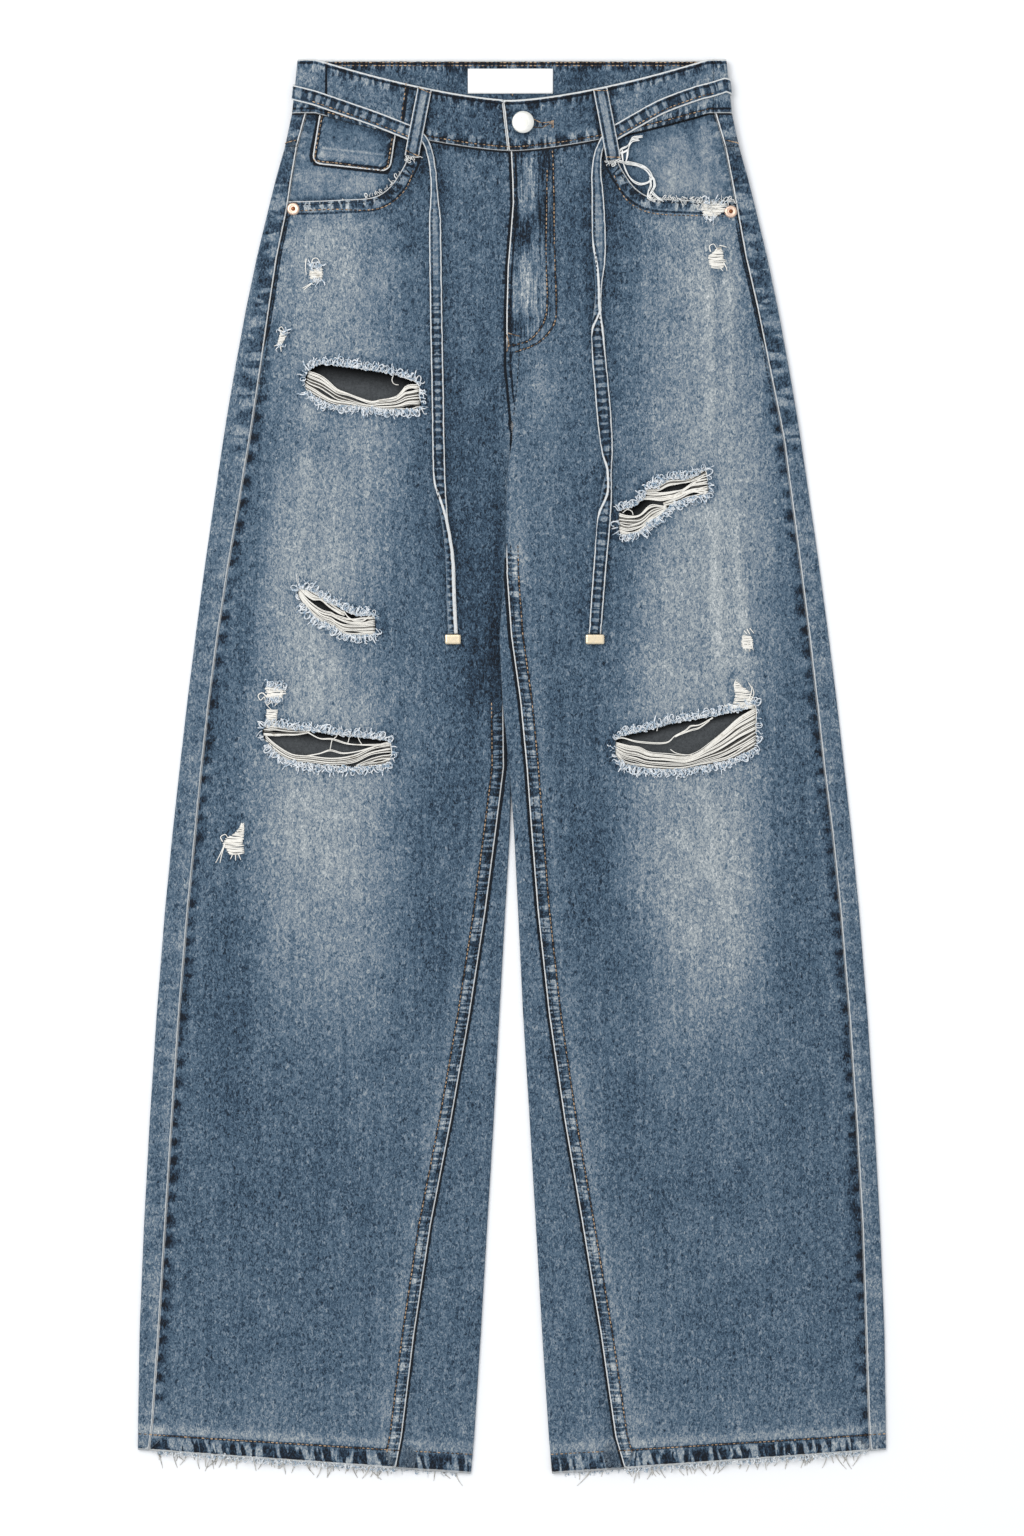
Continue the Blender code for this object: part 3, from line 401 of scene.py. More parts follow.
# Each rip: its outline, with the upper rim in the first half. Then its bundles of bared weft, each
# between an upper and a lower line, with how many threads it has and where they part (how far up
# the bundle, from and to along it, half the gap). Last, the stray threads.
rips = {
    "rightThigh": {
        "side": "right",
        "outline": [(-154.5, 303.5), (-144.7, 307.8), (-133.3, 306.6), (-116.2, 304.3), (-90.8, 300.2),
            (-81.3, 296.7), (-72, 292.8), (-70.6, 283), (-71.1, 273.4), (-94, 272.8), (-123.1, 275.4),
            (-137.1, 276), (-148, 281.5), (-157, 287.5), (-158.2, 295)],
        "bundles": [
            ([(-155, 302), (-146, 298.6), (-139.6, 293.9), (-133.3, 288.8), (-124.4, 285.6), (-108.5, 279),
                (-100.3, 280.2), (-88.9, 282.5), (-84.5, 286.3), (-80.6, 290.4), (-70.8, 292)], [(-159, 288),
                (-155.5, 285), (-137.1, 275.8), (-123.1, 274.8), (-106.6, 273.2), (-94, 272.4),
                (-81.9, 271.8), (-70.2, 273)], 16, [(0.45, 0.06, 0.32, 0.9), (0.72, 0.25, 0.62, 0.55),
                (0.14, 0.84, 0.99, 0.9), (0.86, 0.86, 0.98, 0.7)]),
        ],
        "strays": [[(-90.2, 299.8), (-91.6, 295.4), (-90, 292.4), (-86.6, 291.6)]],
    },
    "rightLowThigh": {
        "side": "right",
        "outline": [(-164, 134.5), (-159.5, 136.5), (-154, 134.5), (-147.3, 131), (-140, 126),
            (-132.7, 122.5), (-127.1, 119.2), (-117.6, 115.8), (-106.4, 115.8), (-104, 106.2),
            (-106.4, 100.6), (-117, 100.4), (-128.8, 101.5), (-137.8, 108.2), (-147.3, 112), (-154.6, 119),
            (-160.8, 126.4)],
        "bundles": [
            ([(-163.5, 137), (-158, 130), (-152.4, 124.7), (-144.5, 119.9), (-137.8, 118), (-134.4, 115.8),
                (-124.9, 113), (-115, 113.5), (-105, 115)], [(-162.8, 131), (-158, 123.6), (-147.3, 111.8),
                (-137.8, 108), (-128.8, 101.8), (-117, 100.4), (-104.4, 100.4)], 14,
                [(0.35, 0.1, 0.45, 0.45), (0.7, 0.45, 0.75, 0.45), (0.2, 0.62, 0.88, 0.55),
                (0.85, 0.8, 0.95, 0.6)]),
            ([(-164.6, 146), (-161, 141), (-155.2, 136.5), (-147.3, 131), (-140, 125.6), (-133, 120.8),
                (-127, 117.4)], [(-162.4, 137), (-158, 132), (-152, 128), (-146, 127.2), (-140, 122.2),
                (-133.5, 118), (-128, 115.6)], 7, [(0.5, 0.5, 0.85, 0.4)]),
        ],
        "strays": [[(-128.5, 119.5), (-125, 114.5), (-119.8, 112), (-113, 112.4), (-107.5, 117)],
            [(-164.4, 147), (-163.8, 141), (-160.6, 134)], [(-163.4, 146), (-162.6, 140), (-158.6, 133)]],
    },
    "rightKnee": {
        "side": "right", "light": 1.4,
        "outline": [(-189, 31), (-169, 29.6), (-152.3, 27.5), (-133.9, 25), (-107.1, 22), (-96, 20.5),
            (-92.3, 16), (-92.8, 6), (-98, 2), (-118.6, -0.3), (-143, 1.2), (-168.7, 4.6), (-180, 11),
            (-189, 21)],
        "bundles": [
            ([(-188.6, 24.6), (-180, 17), (-168, 9.8), (-154.3, 8.2), (-137.3, 6.4), (-120.3, 9),
                (-106.6, 15.2), (-92, 19.6)], [(-188, 18.6), (-178, 10.2), (-168, 5), (-154.3, 3.6),
                (-137.3, 2), (-120.3, 3.6), (-106.6, 9.8), (-92, 11.4)], 9, [(0.45, 0.78, 0.98, 0.5)]),
            ([(-119, 1.2), (-108, 5.8), (-92, 9.4)], [(-119, 0), (-106, 1.2), (-92.2, 3)], 6,
                [(0.5, 0.4, 0.9, 0.5)]),
            ([(-189.6, 31.4), (-176, 29.6), (-163, 28.2), (-154.3, 27.2)], [(-189.6, 24.4), (-176, 24),
                (-163, 24.8), (-155, 26.2)], 6, [(0.45, 0.08, 0.6, 0.8)]),
        ],
        "strays": [[(-156, 26.8), (-146.9, 21.9), (-137.3, 21.7), (-127, 18.4), (-119.6, 17.2),
            (-106.6, 17.2), (-93, 17.8)], [(-157, 8.6), (-147, 10.4), (-138.7, 13.1), (-129.1, 10.8),
            (-118, 12), (-105.6, 15.6)], [(-137.3, 21.5), (-138.2, 17), (-138.9, 13.2)], [(-133.2, 25),
            (-134.4, 23), (-136, 21.8)], [(-124, 23.6), (-124.6, 21), (-125.3, 18.4)], [(-117.6, 22.6),
            (-116.4, 20), (-114.8, 17.4)]],
    },
    "leftThigh": {
        "side": "left",
        "outline": [(82, 195), (91.5, 198.6), (100.7, 205.8), (103.2, 212.4), (110.6, 214.2), (120.5, 219.8),
            (132.4, 220.2), (141.7, 223.8), (147.5, 226.5), (149.5, 217), (149, 208.8), (135.1, 205.4),
            (122.6, 200.2), (114.9, 193), (106.2, 186.8), (98, 180.2), (89.8, 177.8), (82.5, 178.5)],
        "bundles": [
            ([(81.4, 194), (88.7, 192), (97.5, 192.9), (104, 198.3), (108.9, 199.8), (118, 198.9)],
                [(81.6, 179), (89.8, 177.4), (98, 180), (106.2, 186.8), (113, 192.6), (118.4, 197.4)], 14,
                [(0.82, 0.15, 0.9, 0.6), (0.5, 0, 0.3, 0.45)]),
            ([(102.6, 213), (112, 214), (120, 218), (132.4, 218.6), (141, 222.6), (148.6, 227.6)],
                [(100.6, 205), (113.3, 203.6), (122, 205.5), (134, 210.5), (141.5, 210), (150, 208.4)], 11,
                [(0.6, 0.15, 0.8, 1.9), (0.25, 0.35, 0.95, 0.4)]),
            ([(115.6, 201.6), (128, 206.4), (136.2, 210.9), (150, 214.5)], [(116, 199.6), (128.5, 202.8),
                (135.6, 205.6), (150, 208.8)], 6, [(0.4, 0.5, 0.9, 0.7)]),
        ],
        "strays": [[(84.5, 194), (88, 196.6), (91.5, 195.2), (92.5, 192.4)], [(100, 205), (110, 204.6),
            (120, 206.4), (132, 212), (146, 222)]],
    },
    "leftKnee": {
        "side": "left", "light": 2.2,
        "outline": [(79.8, 20.5), (85, 24.2), (102.4, 28.3), (119.4, 33), (132.3, 35.6), (145, 37.6),
            (162.1, 41), (175, 43.6), (185.6, 47), (186.3, 30), (185.9, 15.8), (175, 9.2), (162.1, 4),
            (145, 0.6), (128, -2.3), (110.9, -1.8), (97.2, -0.2), (85.3, 2.4), (79.2, 9.5)],
        "bundles": [
            ([(79.2, 19), (89.6, 16.4), (97.2, 15.3), (105.8, 11.1), (119.4, 9.8), (132.3, 8.5), (140.8, 11),
                (149.3, 17), (162.1, 27.3), (173.3, 37.5), (186.4, 45.4)], [(78.8, 9.6), (85.3, 2.4),
                (97.2, -0.2), (110.9, -1.8), (128, -2.4), (145, 0.6), (162.1, 4), (175, 9.2), (186.6, 15.4)],
                22, [(0.5, 0.02, 0.5, 0.75), (0.2, 0.04, 0.22, 0.5), (0.75, 0.6, 0.95, 0.5),
                (0.45, 0.66, 0.99, 0.6), (0.2, 0.7, 0.92, 0.5)]),
            ([(150, 41.4), (162, 44), (174, 48.4), (185.6, 53.4)], [(150, 38.6), (162, 41), (174, 43.6),
                (185.8, 46.6)], 6, [(0.4, 0.4, 0.9, 0.4)]),
        ],
        "strays": [[(79.6, 21.8), (85.3, 22.2), (96.4, 19.6), (116.9, 18.7), (124.6, 23.9), (132.3, 28.1),
            (136.5, 31.5), (143.4, 32.4), (153.5, 38)], [(124.6, 23.4), (130.6, 25.8), (137, 28.6),
            (143, 30.2), (151, 35.6)], [(121, 13.4), (125, 10.8), (131, 9.4), (138, 9.2)], [(111.4, 30.6),
            (110.6, 27.4)]],
    },
}
for rip in rips.values():
    rip["rim"] = [(x, y) for x, y in curveThrough(rip["outline"], 6, closed=True)]

# Small nicks and frayed corners: rows of bared weft (x, y, width) from low to high, then loose tails
nicks = [
    {
        "side": "right", "crown": 4, "rows": [(-149.5, 373, 9), (-149.6, 376.5, 10.3), (-149, 380.3, 8.6)],
        "tails": [[(-146.8, 372.9), (-151, 370.6), (-156.7, 367), (-160.2, 365.3)], [(-147.5, 372),
            (-152, 369.4), (-157, 365.6), (-158.6, 364)], [(-153, 383), (-152, 387.4), (-148.5, 388),
            (-146, 383), (-149, 383.4)], [(-157, 388), (-157.6, 382), (-157, 375.5)]],
    },
    {
        "side": "right", "crown": 2, "rows": [(-177, 323.5, 3.6), (-175.4, 327.5, 5), (-174.4, 331.4, 5)],
        "tails": [[(-174.4, 332), (-177.8, 334), (-176, 336), (-174.2, 333.6)], [(-177.6, 322.8),
            (-179.5, 322), (-181.6, 321.3)], [(-176.6, 321), (-176.4, 319), (-176.1, 317)]],
    },
    {
        "side": "right", "crown": 0,
        "rows": [(-210.5, -66, 11), (-212.5, -60, 15), (-212.5, -56, 15), (-208.6, -51, 7),
            (-206.2, -46.5, 3.4), (-205.8, -43, 1.6)],
        "tails": [[(-219, -58), (-222.5, -66), (-226.3, -73.3)], [(-219.5, -60), (-221.4, -66),
            (-223, -73.3)], [(-221, -57), (-222.5, -53.5), (-219, -51.5), (-217, -54)], [(-213, -66),
            (-215, -70.5)], [(-209, -66), (-207, -71)], [(-211, -66), (-211, -71.5)]],
    },
    {
        "side": "right", "crown": 0, "rows": [(-183.4, 30, 8.4), (-183.4, 38, 8.2), (-183.4, 43.6, 8.6)],
        "tails": [],
    },
    {
        "side": "right", "crown": 6, "rows": [(-181.5, 53.5, 12), (-180.5, 57, 14.5), (-180.5, 60.5, 15.5)],
        "tails": [[(-187, 53), (-190.5, 56.5), (-193.8, 54.5), (-191.8, 51), (-189, 53.5), (-187.6, 48),
            (-183.6, 43.6)], [(-175, 58), (-177, 53), (-179.7, 47.5)], [(-176.3, 57), (-178.6, 52),
            (-181, 46.5)], [(-180, 53.5), (-184, 49.5), (-187, 47)]],
    },
    {
        "side": "left", "crown": 0,
        "rows": [(157, 381.5, 9.5), (156.2, 386, 12.5), (155.6, 389.5, 11.5), (157.2, 393.5, 6.5),
            (157.8, 396, 3.5)],
        "tails": [[(151.5, 393), (150.8, 397.5), (154, 399), (156, 396)], [(158.3, 398), (161, 397.6),
            (164, 396.7)], [(161.5, 385), (163.6, 381), (164.2, 378.6)], [(159, 381), (161, 378.5)]],
    },
    {
        "side": "left", "crown": 0, "rows": [(179.6, 90.5, 7.5), (179.6, 95, 8.5), (179.4, 100, 6.6)],
        "tails": [[(177.3, 104.1), (179.3, 101.6)], [(179.3, 105.4), (181.8, 101)], [(181.5, 106),
            (184.8, 102)], [(176.5, 95), (178.6, 88.6)], [(180, 94), (181.5, 88)], [(182.6, 96),
            (184.2, 89)]],
    },
    {
        "side": "left", "crown": 0,
        "rows": [(173, 45.4, 23), (176.6, 49.5, 13.5), (176.6, 56.3, 12), (173, 61, 6), (171, 65, 2)],
        "tails": [[(182, 50), (184.6, 56), (183, 62)], [(181, 52), (183, 59), (180.5, 64.5)], [(170.6, 58),
            (169.6, 63), (171.4, 67)]],
    },
    {
        "side": "left", "crown": 3, "rows": [(151.5, 421, 11), (154, 425, 17.5), (155.5, 429.5, 19)],
        "tails": [],
    },
]

# Creases: points along each, half width, height (below zero for a trough) and how much paler it is drawn:
# partly rubbed wear, partly painted highlight on the ridges and painted shade in the troughs
creases = [
    # fine lines across the hips, right
    ([(-52, 414), (-36, 409), (-18, 408)], 3.2, 0.35, 0.045),
    ([(-50, 399), (-34, 393), (-16, 391)], 3.6, 0.4, 0.05),
    ([(-48, 385), (-30, 377), (-15, 376)], 3, 0.3, 0.04),
    ([(-46, 369), (-32, 363), (-17, 361)], 3.4, 0.3, 0.035),
    ([(-100, 408), (-82, 402), (-68, 403)], 4, 0.35, 0.04),
    ([(-104, 391), (-84, 384), (-66, 384)], 4.4, 0.35, 0.04),
    ([(-132, 420), (-112, 414), (-90, 418)], 4, 0.3, 0.03),
    ([(-47, 466), (-40, 452), (-28, 436)], 2.4, 0.45, 0.05),
    ([(-38, 467), (-30, 455), (-24, 447)], 2.2, 0.4, 0.045),
    ([(-28, 466), (-22, 452), (-16, 440)], 2.4, -0.35, -0.03),
    # and left
    ([(42, 412), (62, 404), (84, 404)], 3.6, 0.35, 0.045),
    ([(44, 396), (70, 386), (98, 387), (122, 392)], 4.2, 0.4, 0.05),
    ([(42, 378), (66, 368), (96, 368), (120, 372)], 3.8, 0.35, 0.045),
    ([(46, 360), (72, 351), (100, 352)], 4.2, 0.3, 0.035),
    ([(92, 410), (116, 406), (142, 411)], 4, 0.3, 0.035),
    ([(42, 466), (48, 452), (50, 440)], 2.4, 0.4, 0.04),
    # pressed ridges down the outer thighs, from the pocket bag's edge
    ([(-155, 424), (-157, 372), (-155, 318), (-156, 240), (-159, 160)], 3.6, 0.55, 0.06),
    ([(144, 420), (149, 360), (152, 296), (150, 232)], 4.6, 0.55, 0.085),
    ([(150, 214), (156, 150), (158, 92), (163, 48)], 4.2, 0.55, 0.095),
    ([(163, 400), (167, 330), (166, 262)], 3.4, 0.45, 0.075),
    ([(172, 208), (173, 150), (178, 100), (180, 48)], 3.4, 0.4, 0.08),
    ([(150, -6), (154, -60), (158, -118)], 4.4, 0.5, 0.06),
    ([(168, -10), (168, -70), (165, -130)], 3.8, 0.4, 0.055),
    # the knees, where the leg has bent
    ([(106, -34), (134, -62), (168, -98)], 5, 0.6, 0.055),
    ([(86, -58), (108, -72), (140, -92)], 4.6, 0.45, 0.045),
    ([(100, -22), (128, -34), (160, -50)], 4.4, -0.4, -0.025),
    ([(78, -84), (104, -98), (132, -122)], 4.8, 0.4, 0.035),
    ([(-176, -18), (-148, -36), (-112, -44)], 4.8, 0.4, 0.03),
    ([(-170, -48), (-140, -66), (-104, -70)], 5.2, 0.4, 0.03),
    ([(-182, -78), (-150, -98), (-118, -104)], 5, -0.35, -0.015),
    ([(-120, 82), (-146, 70), (-172, 74)], 4.6, 0.35, 0.025),
    ([(92, 150), (118, 136), (146, 140)], 5, 0.35, 0.025),
    # long soft waves down the shins
    ([(-228, 60), (-236, -60), (-243, -200), (-250, -360)], 8, 0.4, 0.018),
    ([(-176, -170), (-184, -280), (-190, -420)], 9, 0.5, 0.018),
    ([(-120, -180), (-124, -300), (-136, -440)], 9, 0.45, 0.015),
    ([(232, 40), (240, -90), (246, -240), (250, -380)], 8, 0.4, 0.018),
    ([(182, -160), (190, -290), (196, -430)], 9, 0.5, 0.018),
    ([(118, -180), (122, -310), (136, -450)], 9, 0.45, 0.015),
    ([(60, 320), (56, 240), (58, 160), (62, 90)], 8, 0.35, -0.01),
    ([(-40, 330), (-46, 240), (-44, 150), (-40, 60)], 8, 0.35, -0.012),
]
# The same kind on the hidden back: behind the knees and under the seat
backCreases = [
    ([(60, 40), (110, 28), (170, 36), (214, 30)], 6, 0.6, 0.03),
    ([(70, 8), (120, -6), (176, 2)], 5, 0.55, 0.03),
    ([(62, 74), (104, 66), (150, 78)], 5, 0.45, 0.02),
    ([(88, -34), (130, -44), (190, -34)], 5.5, 0.5, 0.03),
    ([(30, 246), (80, 234), (140, 240), (196, 228)], 6, 0.6, 0.03),
    ([(34, 216), (84, 204), (134, 208)], 5, 0.5, 0.02),
    ([(16, 300), (26, 276), (44, 258)], 4, 0.45, 0.03),
    ([(150, -150), (156, -280), (168, -420)], 9, 0.45, 0.015),
    ([(226, -60), (236, -200), (246, -340)], 8, 0.4, 0.015),
]
for crease in [c for c in backCreases]:
    points, width, height, fadeAndLight = crease
    backCreases.append(([(-x * 0.97 - 3, y * 1.02 - 6) for x, y in points], width * 0.9, height * 0.9, fadeAndLight))

# Fade down the middle of each leg: y, centre, half width, how much paler
fades = {
    "right": [(500, -130, 44, 0.04), (470, -136, 44, 0.09), (400, -150, 40, 0.19), (330, -140, 44, 0.17),
        (242, -126, 54, 0.15), (150, -148, 50, 0.2), (90, -156, 46, 0.21), (0, -154, 52, 0.2),
        (-63, -152, 54, 0.2), (-140, -142, 50, 0.15), (-216, -136, 52, 0.035), (-300, -136, 60, 0)],
    "left": [(500, 126, 46, 0.05), (470, 132, 46, 0.08), (400, 147, 42, 0.18), (330, 146, 46, 0.17),
        (242, 150, 46, 0.2), (150, 150, 48, 0.22), (90, 144, 50, 0.2), (0, 142, 52, 0.2),
        (-63, 146, 52, 0.21), (-140, 154, 46, 0.2), (-216, 146, 54, 0.06), (-300, 130, 62, 0)],
}
# Softer local marks, partly faded wear and partly painted shade beside the loops and the tie and where the
# left leg's edge lies over the right: x, y, reach across, reach along, how much paler
marks = [(-30, 300, 16, 130, -0.03), (-22, 120, 20, 160, -0.07), (34, 120, 26, 170, -0.01),
    (16, 410, 14, 60, 0.03), (45, 300, 30, 80, 0.02), (-200, 230, 12, 160, -0.03), (206, 230, 14, 160, 0.02),
    (18, 350, 10, 90, 0.02), (60, -330, 40, 120, 0.02), (-60, -330, 40, 120, 0.01),
    (-100, 200, 20, 60, -0.02), (-12, 90, 7, 110, -0.12), (-98, 380, 24, 28, 0.04), (60, 400, 22, 50, -0.1),
    (90, 380, 18, 40, -0.04), (70, 245, 18, 26, 0.05), (27, 210, 12, 70, 0.06), (-40, 60, 16, 120, -0.03),
    (-212, 40, 12, 120, -0.04), (206, -50, 14, 60, -0.04), (57, -60, 18, 70, -0.06),
    (-122, 100, 14, 40, -0.05), (-214, -200, 18, 120, -0.045), (-62, -139, 20, 40, -0.05),
    (92, -250, 24, 120, -0.03), (-150, -293, 40, 70, -0.03), (262, -369, 10, 70, -0.04),
    (-104, 0, 18, 80, 0.07), (-75, 60, 14, 40, 0.035), (4, 183, 9, 45, 0.12), (25, 300, 14, 30, 0.07),
    (102, 60, 14, 40, 0.06), (150, 420, 14, 10, 0.09), (176, 90, 10, 40, 0.075), (200, -140, 16, 60, -0.045),
    (-224, 150, 12, 70, 0.05), (76, 420, 12, 14, -0.07), (-70, -410, 30, 50, 0.055),
    (-25, -420, 20, 40, 0.06), (90, -410, 30, 60, 0.055), (-75, 398, 9, 12, -0.08),
    (-75, 232, 10, 36, -0.07), (-50, 265, 9, 70, -0.05), (1, 250, 7, 60, 0.06), (2, 150, 8, 26, 0.06),
    (-25, 285, 8, 14, 0.07), (-25, 75, 10, 28, -0.05), (75, 250, 9, 12, 0.08), (75, 150, 12, 14, -0.05),
    (50, 120, 10, 18, -0.06), (100, 345, 13, 40, 0.05), (100, 135, 14, 22, 0.05), (100, -100, 14, 44, 0.045),
    (125, 345, 8, 12, -0.06), (125, 250, 8, 12, -0.06), (150, 215, 8, 10, -0.05), (-100, 370, 10, 12, 0.05),
    (-175, 180, 12, 24, 0.05), (-200, 150, 10, 18, -0.07), (-200, 88, 12, 32, -0.04),
    (-150, 250, 10, 12, -0.07), (150, -100, 9, 14, -0.05), (-150, -180, 14, 18, 0.05),
    (-175, -222, 12, 16, -0.05), (-50, -270, 18, 60, 0.04), (50, -270, 18, 60, 0.04),
    (50, -370, 16, 20, 0.05), (175, -370, 16, 18, 0.05), (-50, -425, 34, 14, 0.05),
    (-275, -460, 9, 30, 0.06), (76, -472, 12, 24, 0.09), (-50, 445, 7, 16, -0.1), (-75, 420, 8, 10, -0.06),
    (175, 420, 8, 10, 0.06), (25, 465, 9, 14, -0.1), (-74, 465, 7, 14, -0.11), (74, 465, 7, 12, -0.09),
    (0, 420, 7, 14, -0.07), (24, 420, 8, 16, -0.06), (0, -30, 7, 16, -0.06), (75, 180, 9, 12, -0.05),
    (-25, 90, 8, 40, -0.02), (-274, -508, 7, 12, 0.11), (274, -516, 8, 8, 0.13), (100, -498, 10, 14, 0.05),
    (-250, -519, 9, 6, -0.11), (-200, -517, 9, 6, -0.06)]
tieShade = {"lines": {"right": [(-62, 470), (-59, 440), (-58, 330), (-55, 215), (-47, 160), (-45, 98)],
                      "left": [(66, 468), (66, 400), (66, 330), (72, 240), (71, 190), (63, 98)]},
            "reach": 7, "depth": -0.11}


def boxed(x, y, line, reach):  # which points are near the box round a line
    low, high = np.min(line, axis=0) - reach, np.max(line, axis=0) + reach
    return (x > low[0]) & (x < high[0]) & (y > low[1]) & (y < high[1])


def creaseAt(x, y, table):
    lift, paler = np.zeros(np.shape(x)), np.zeros(np.shape(x))
    for points, width, height, fadeAndLight in table:
        line = curveThrough(points, 5)
        near = boxed(x, y, line, 3.2 * width)
        if not near.any():
            continue
        away, done, _ = distanceTo(x[near], y[near], line)
        total = sum(math.dist(p, q) for p, q in zip(line, line[1:]))
        shape = bell(away, width) * smooth(np.minimum(done, total - done) / (0.28 * total) + 0.05)
        lift[near] += height * shape
        paler[near] += fadeAndLight * shape
    return lift, paler


def fadeAt(side, x, y):
    rows = np.array(fades[side["name"]])[::-1]
    centre, half, gain = [np.interp(y, rows[:, 0], rows[:, k]) for k in (1, 2, 3)]
    return gain * np.exp(-(np.abs(x - centre) / half) ** 3.2)


def washAt(side, x, y):  # how pale the cloth is, as a share of white on screen, with painted shadow beside the tie's free ends
    pale = 0.365 + fadeAt(side, x, y)
    for mx, my, rx, ry, gain in marks:
        pale = pale + gain * np.exp(-(((x - mx) / rx) ** 2 + ((y - my) / ry) ** 2))
    away, _, _ = distanceTo(x, y, tieShade["lines"][side["name"]])
    return pale + tieShade["depth"] * bell(away, tieShade["reach"])


# paler rubbed wear and painted shade, mark by mark
def wearAndShade(wash, marks):  # each mark: distance to it, where it is strongest, its reach, how much paler
    for away, centre, reach, gain in marks:
        wash = wash + gain * bell(away - centre, reach)
    return wash


def least(*values):
    return reduce(np.minimum, values)


def nearest(choices, shape):  # of several edges, what the closest says: its distance, then the rest
    found = [np.broadcast_to(value, shape) for value in choices[0]]
    for choice in choices[1:]:
        closer = choice[0] < found[0]
        found = [np.where(closer, new, old) for new, old in zip(choice, found)]
    return found


# Cloth finishes

# Indigo-dyed cotton twill, stone-washed: dull, slightly fuzzy, blue where the dye is left and grey
# where it has worn off, with the white core of the yarn showing at raw and rubbed edges.
# Real twill has a line every 0.9 mm. The grain is drawn 1.7 mm wide so that it shows.
denimLook = {
    "grainSize": (1.7, 3.1), "grain": 0.27, "crackSize": 2.8, "crack": 0.1, "slubSize": (5, 120),
    "slub": 0.055, "cloudSize": 34, "cloud": 0.05, "streakSize": (1.6, 26), "streak": 0.16,
    "lineWidth": 0.62, "lineSoft": 0.5, "ragged": 0.45, "shadowLine": 0.1, "groove": 0.26,
    "ropeDark": 0.2, "ropePale": 0.12, "ropeEven": 0.07, "roughness": 0.88, "bump": 0.55,
}
denimNoises = {  # detail, roughness and distortion
    "grain": (2, 0.62, 1.3), "slub": (3, 0.6, 0), "streak": (2, 0.6, 0), "cloud": (3, 0.6, 0.6),
    "crack": (1, 0.5, 0.8), "pucker": (1.5, 0.45, 0.5),
}
denimSteps = [  # paleness on screen, and the dye's colour there
    (0.08, "#0c121a"), (0.19, "#1e2e3e"), (0.275, "#324658"), (0.353, "#475c6e"), (0.431, "#5b6e7e"),
    (0.51, "#78838e"), (0.588, "#90989c"), (0.667, "#a5abac"), (0.8, "#c9cbca"), (0.92, "#e6e5e1"),
]
# What each point of a sheet carries: paleness, distances in mm to a white edge, a dark line (mostly painted
# shadow at seams and under edges) and a groove (painted shade), the puckers' place and strength, the depth in
# a rip (for its painted shade) and the streaks' strength
sheetValues = {"wash": 0.42, "lineMm": 9, "lineGain": 1, "darkMm": 9, "ropeReach": 9, "ropeAlong": 0,
               "ropeGain": 0, "grooveMm": 9, "ripDepth": -1, "streak": 0}


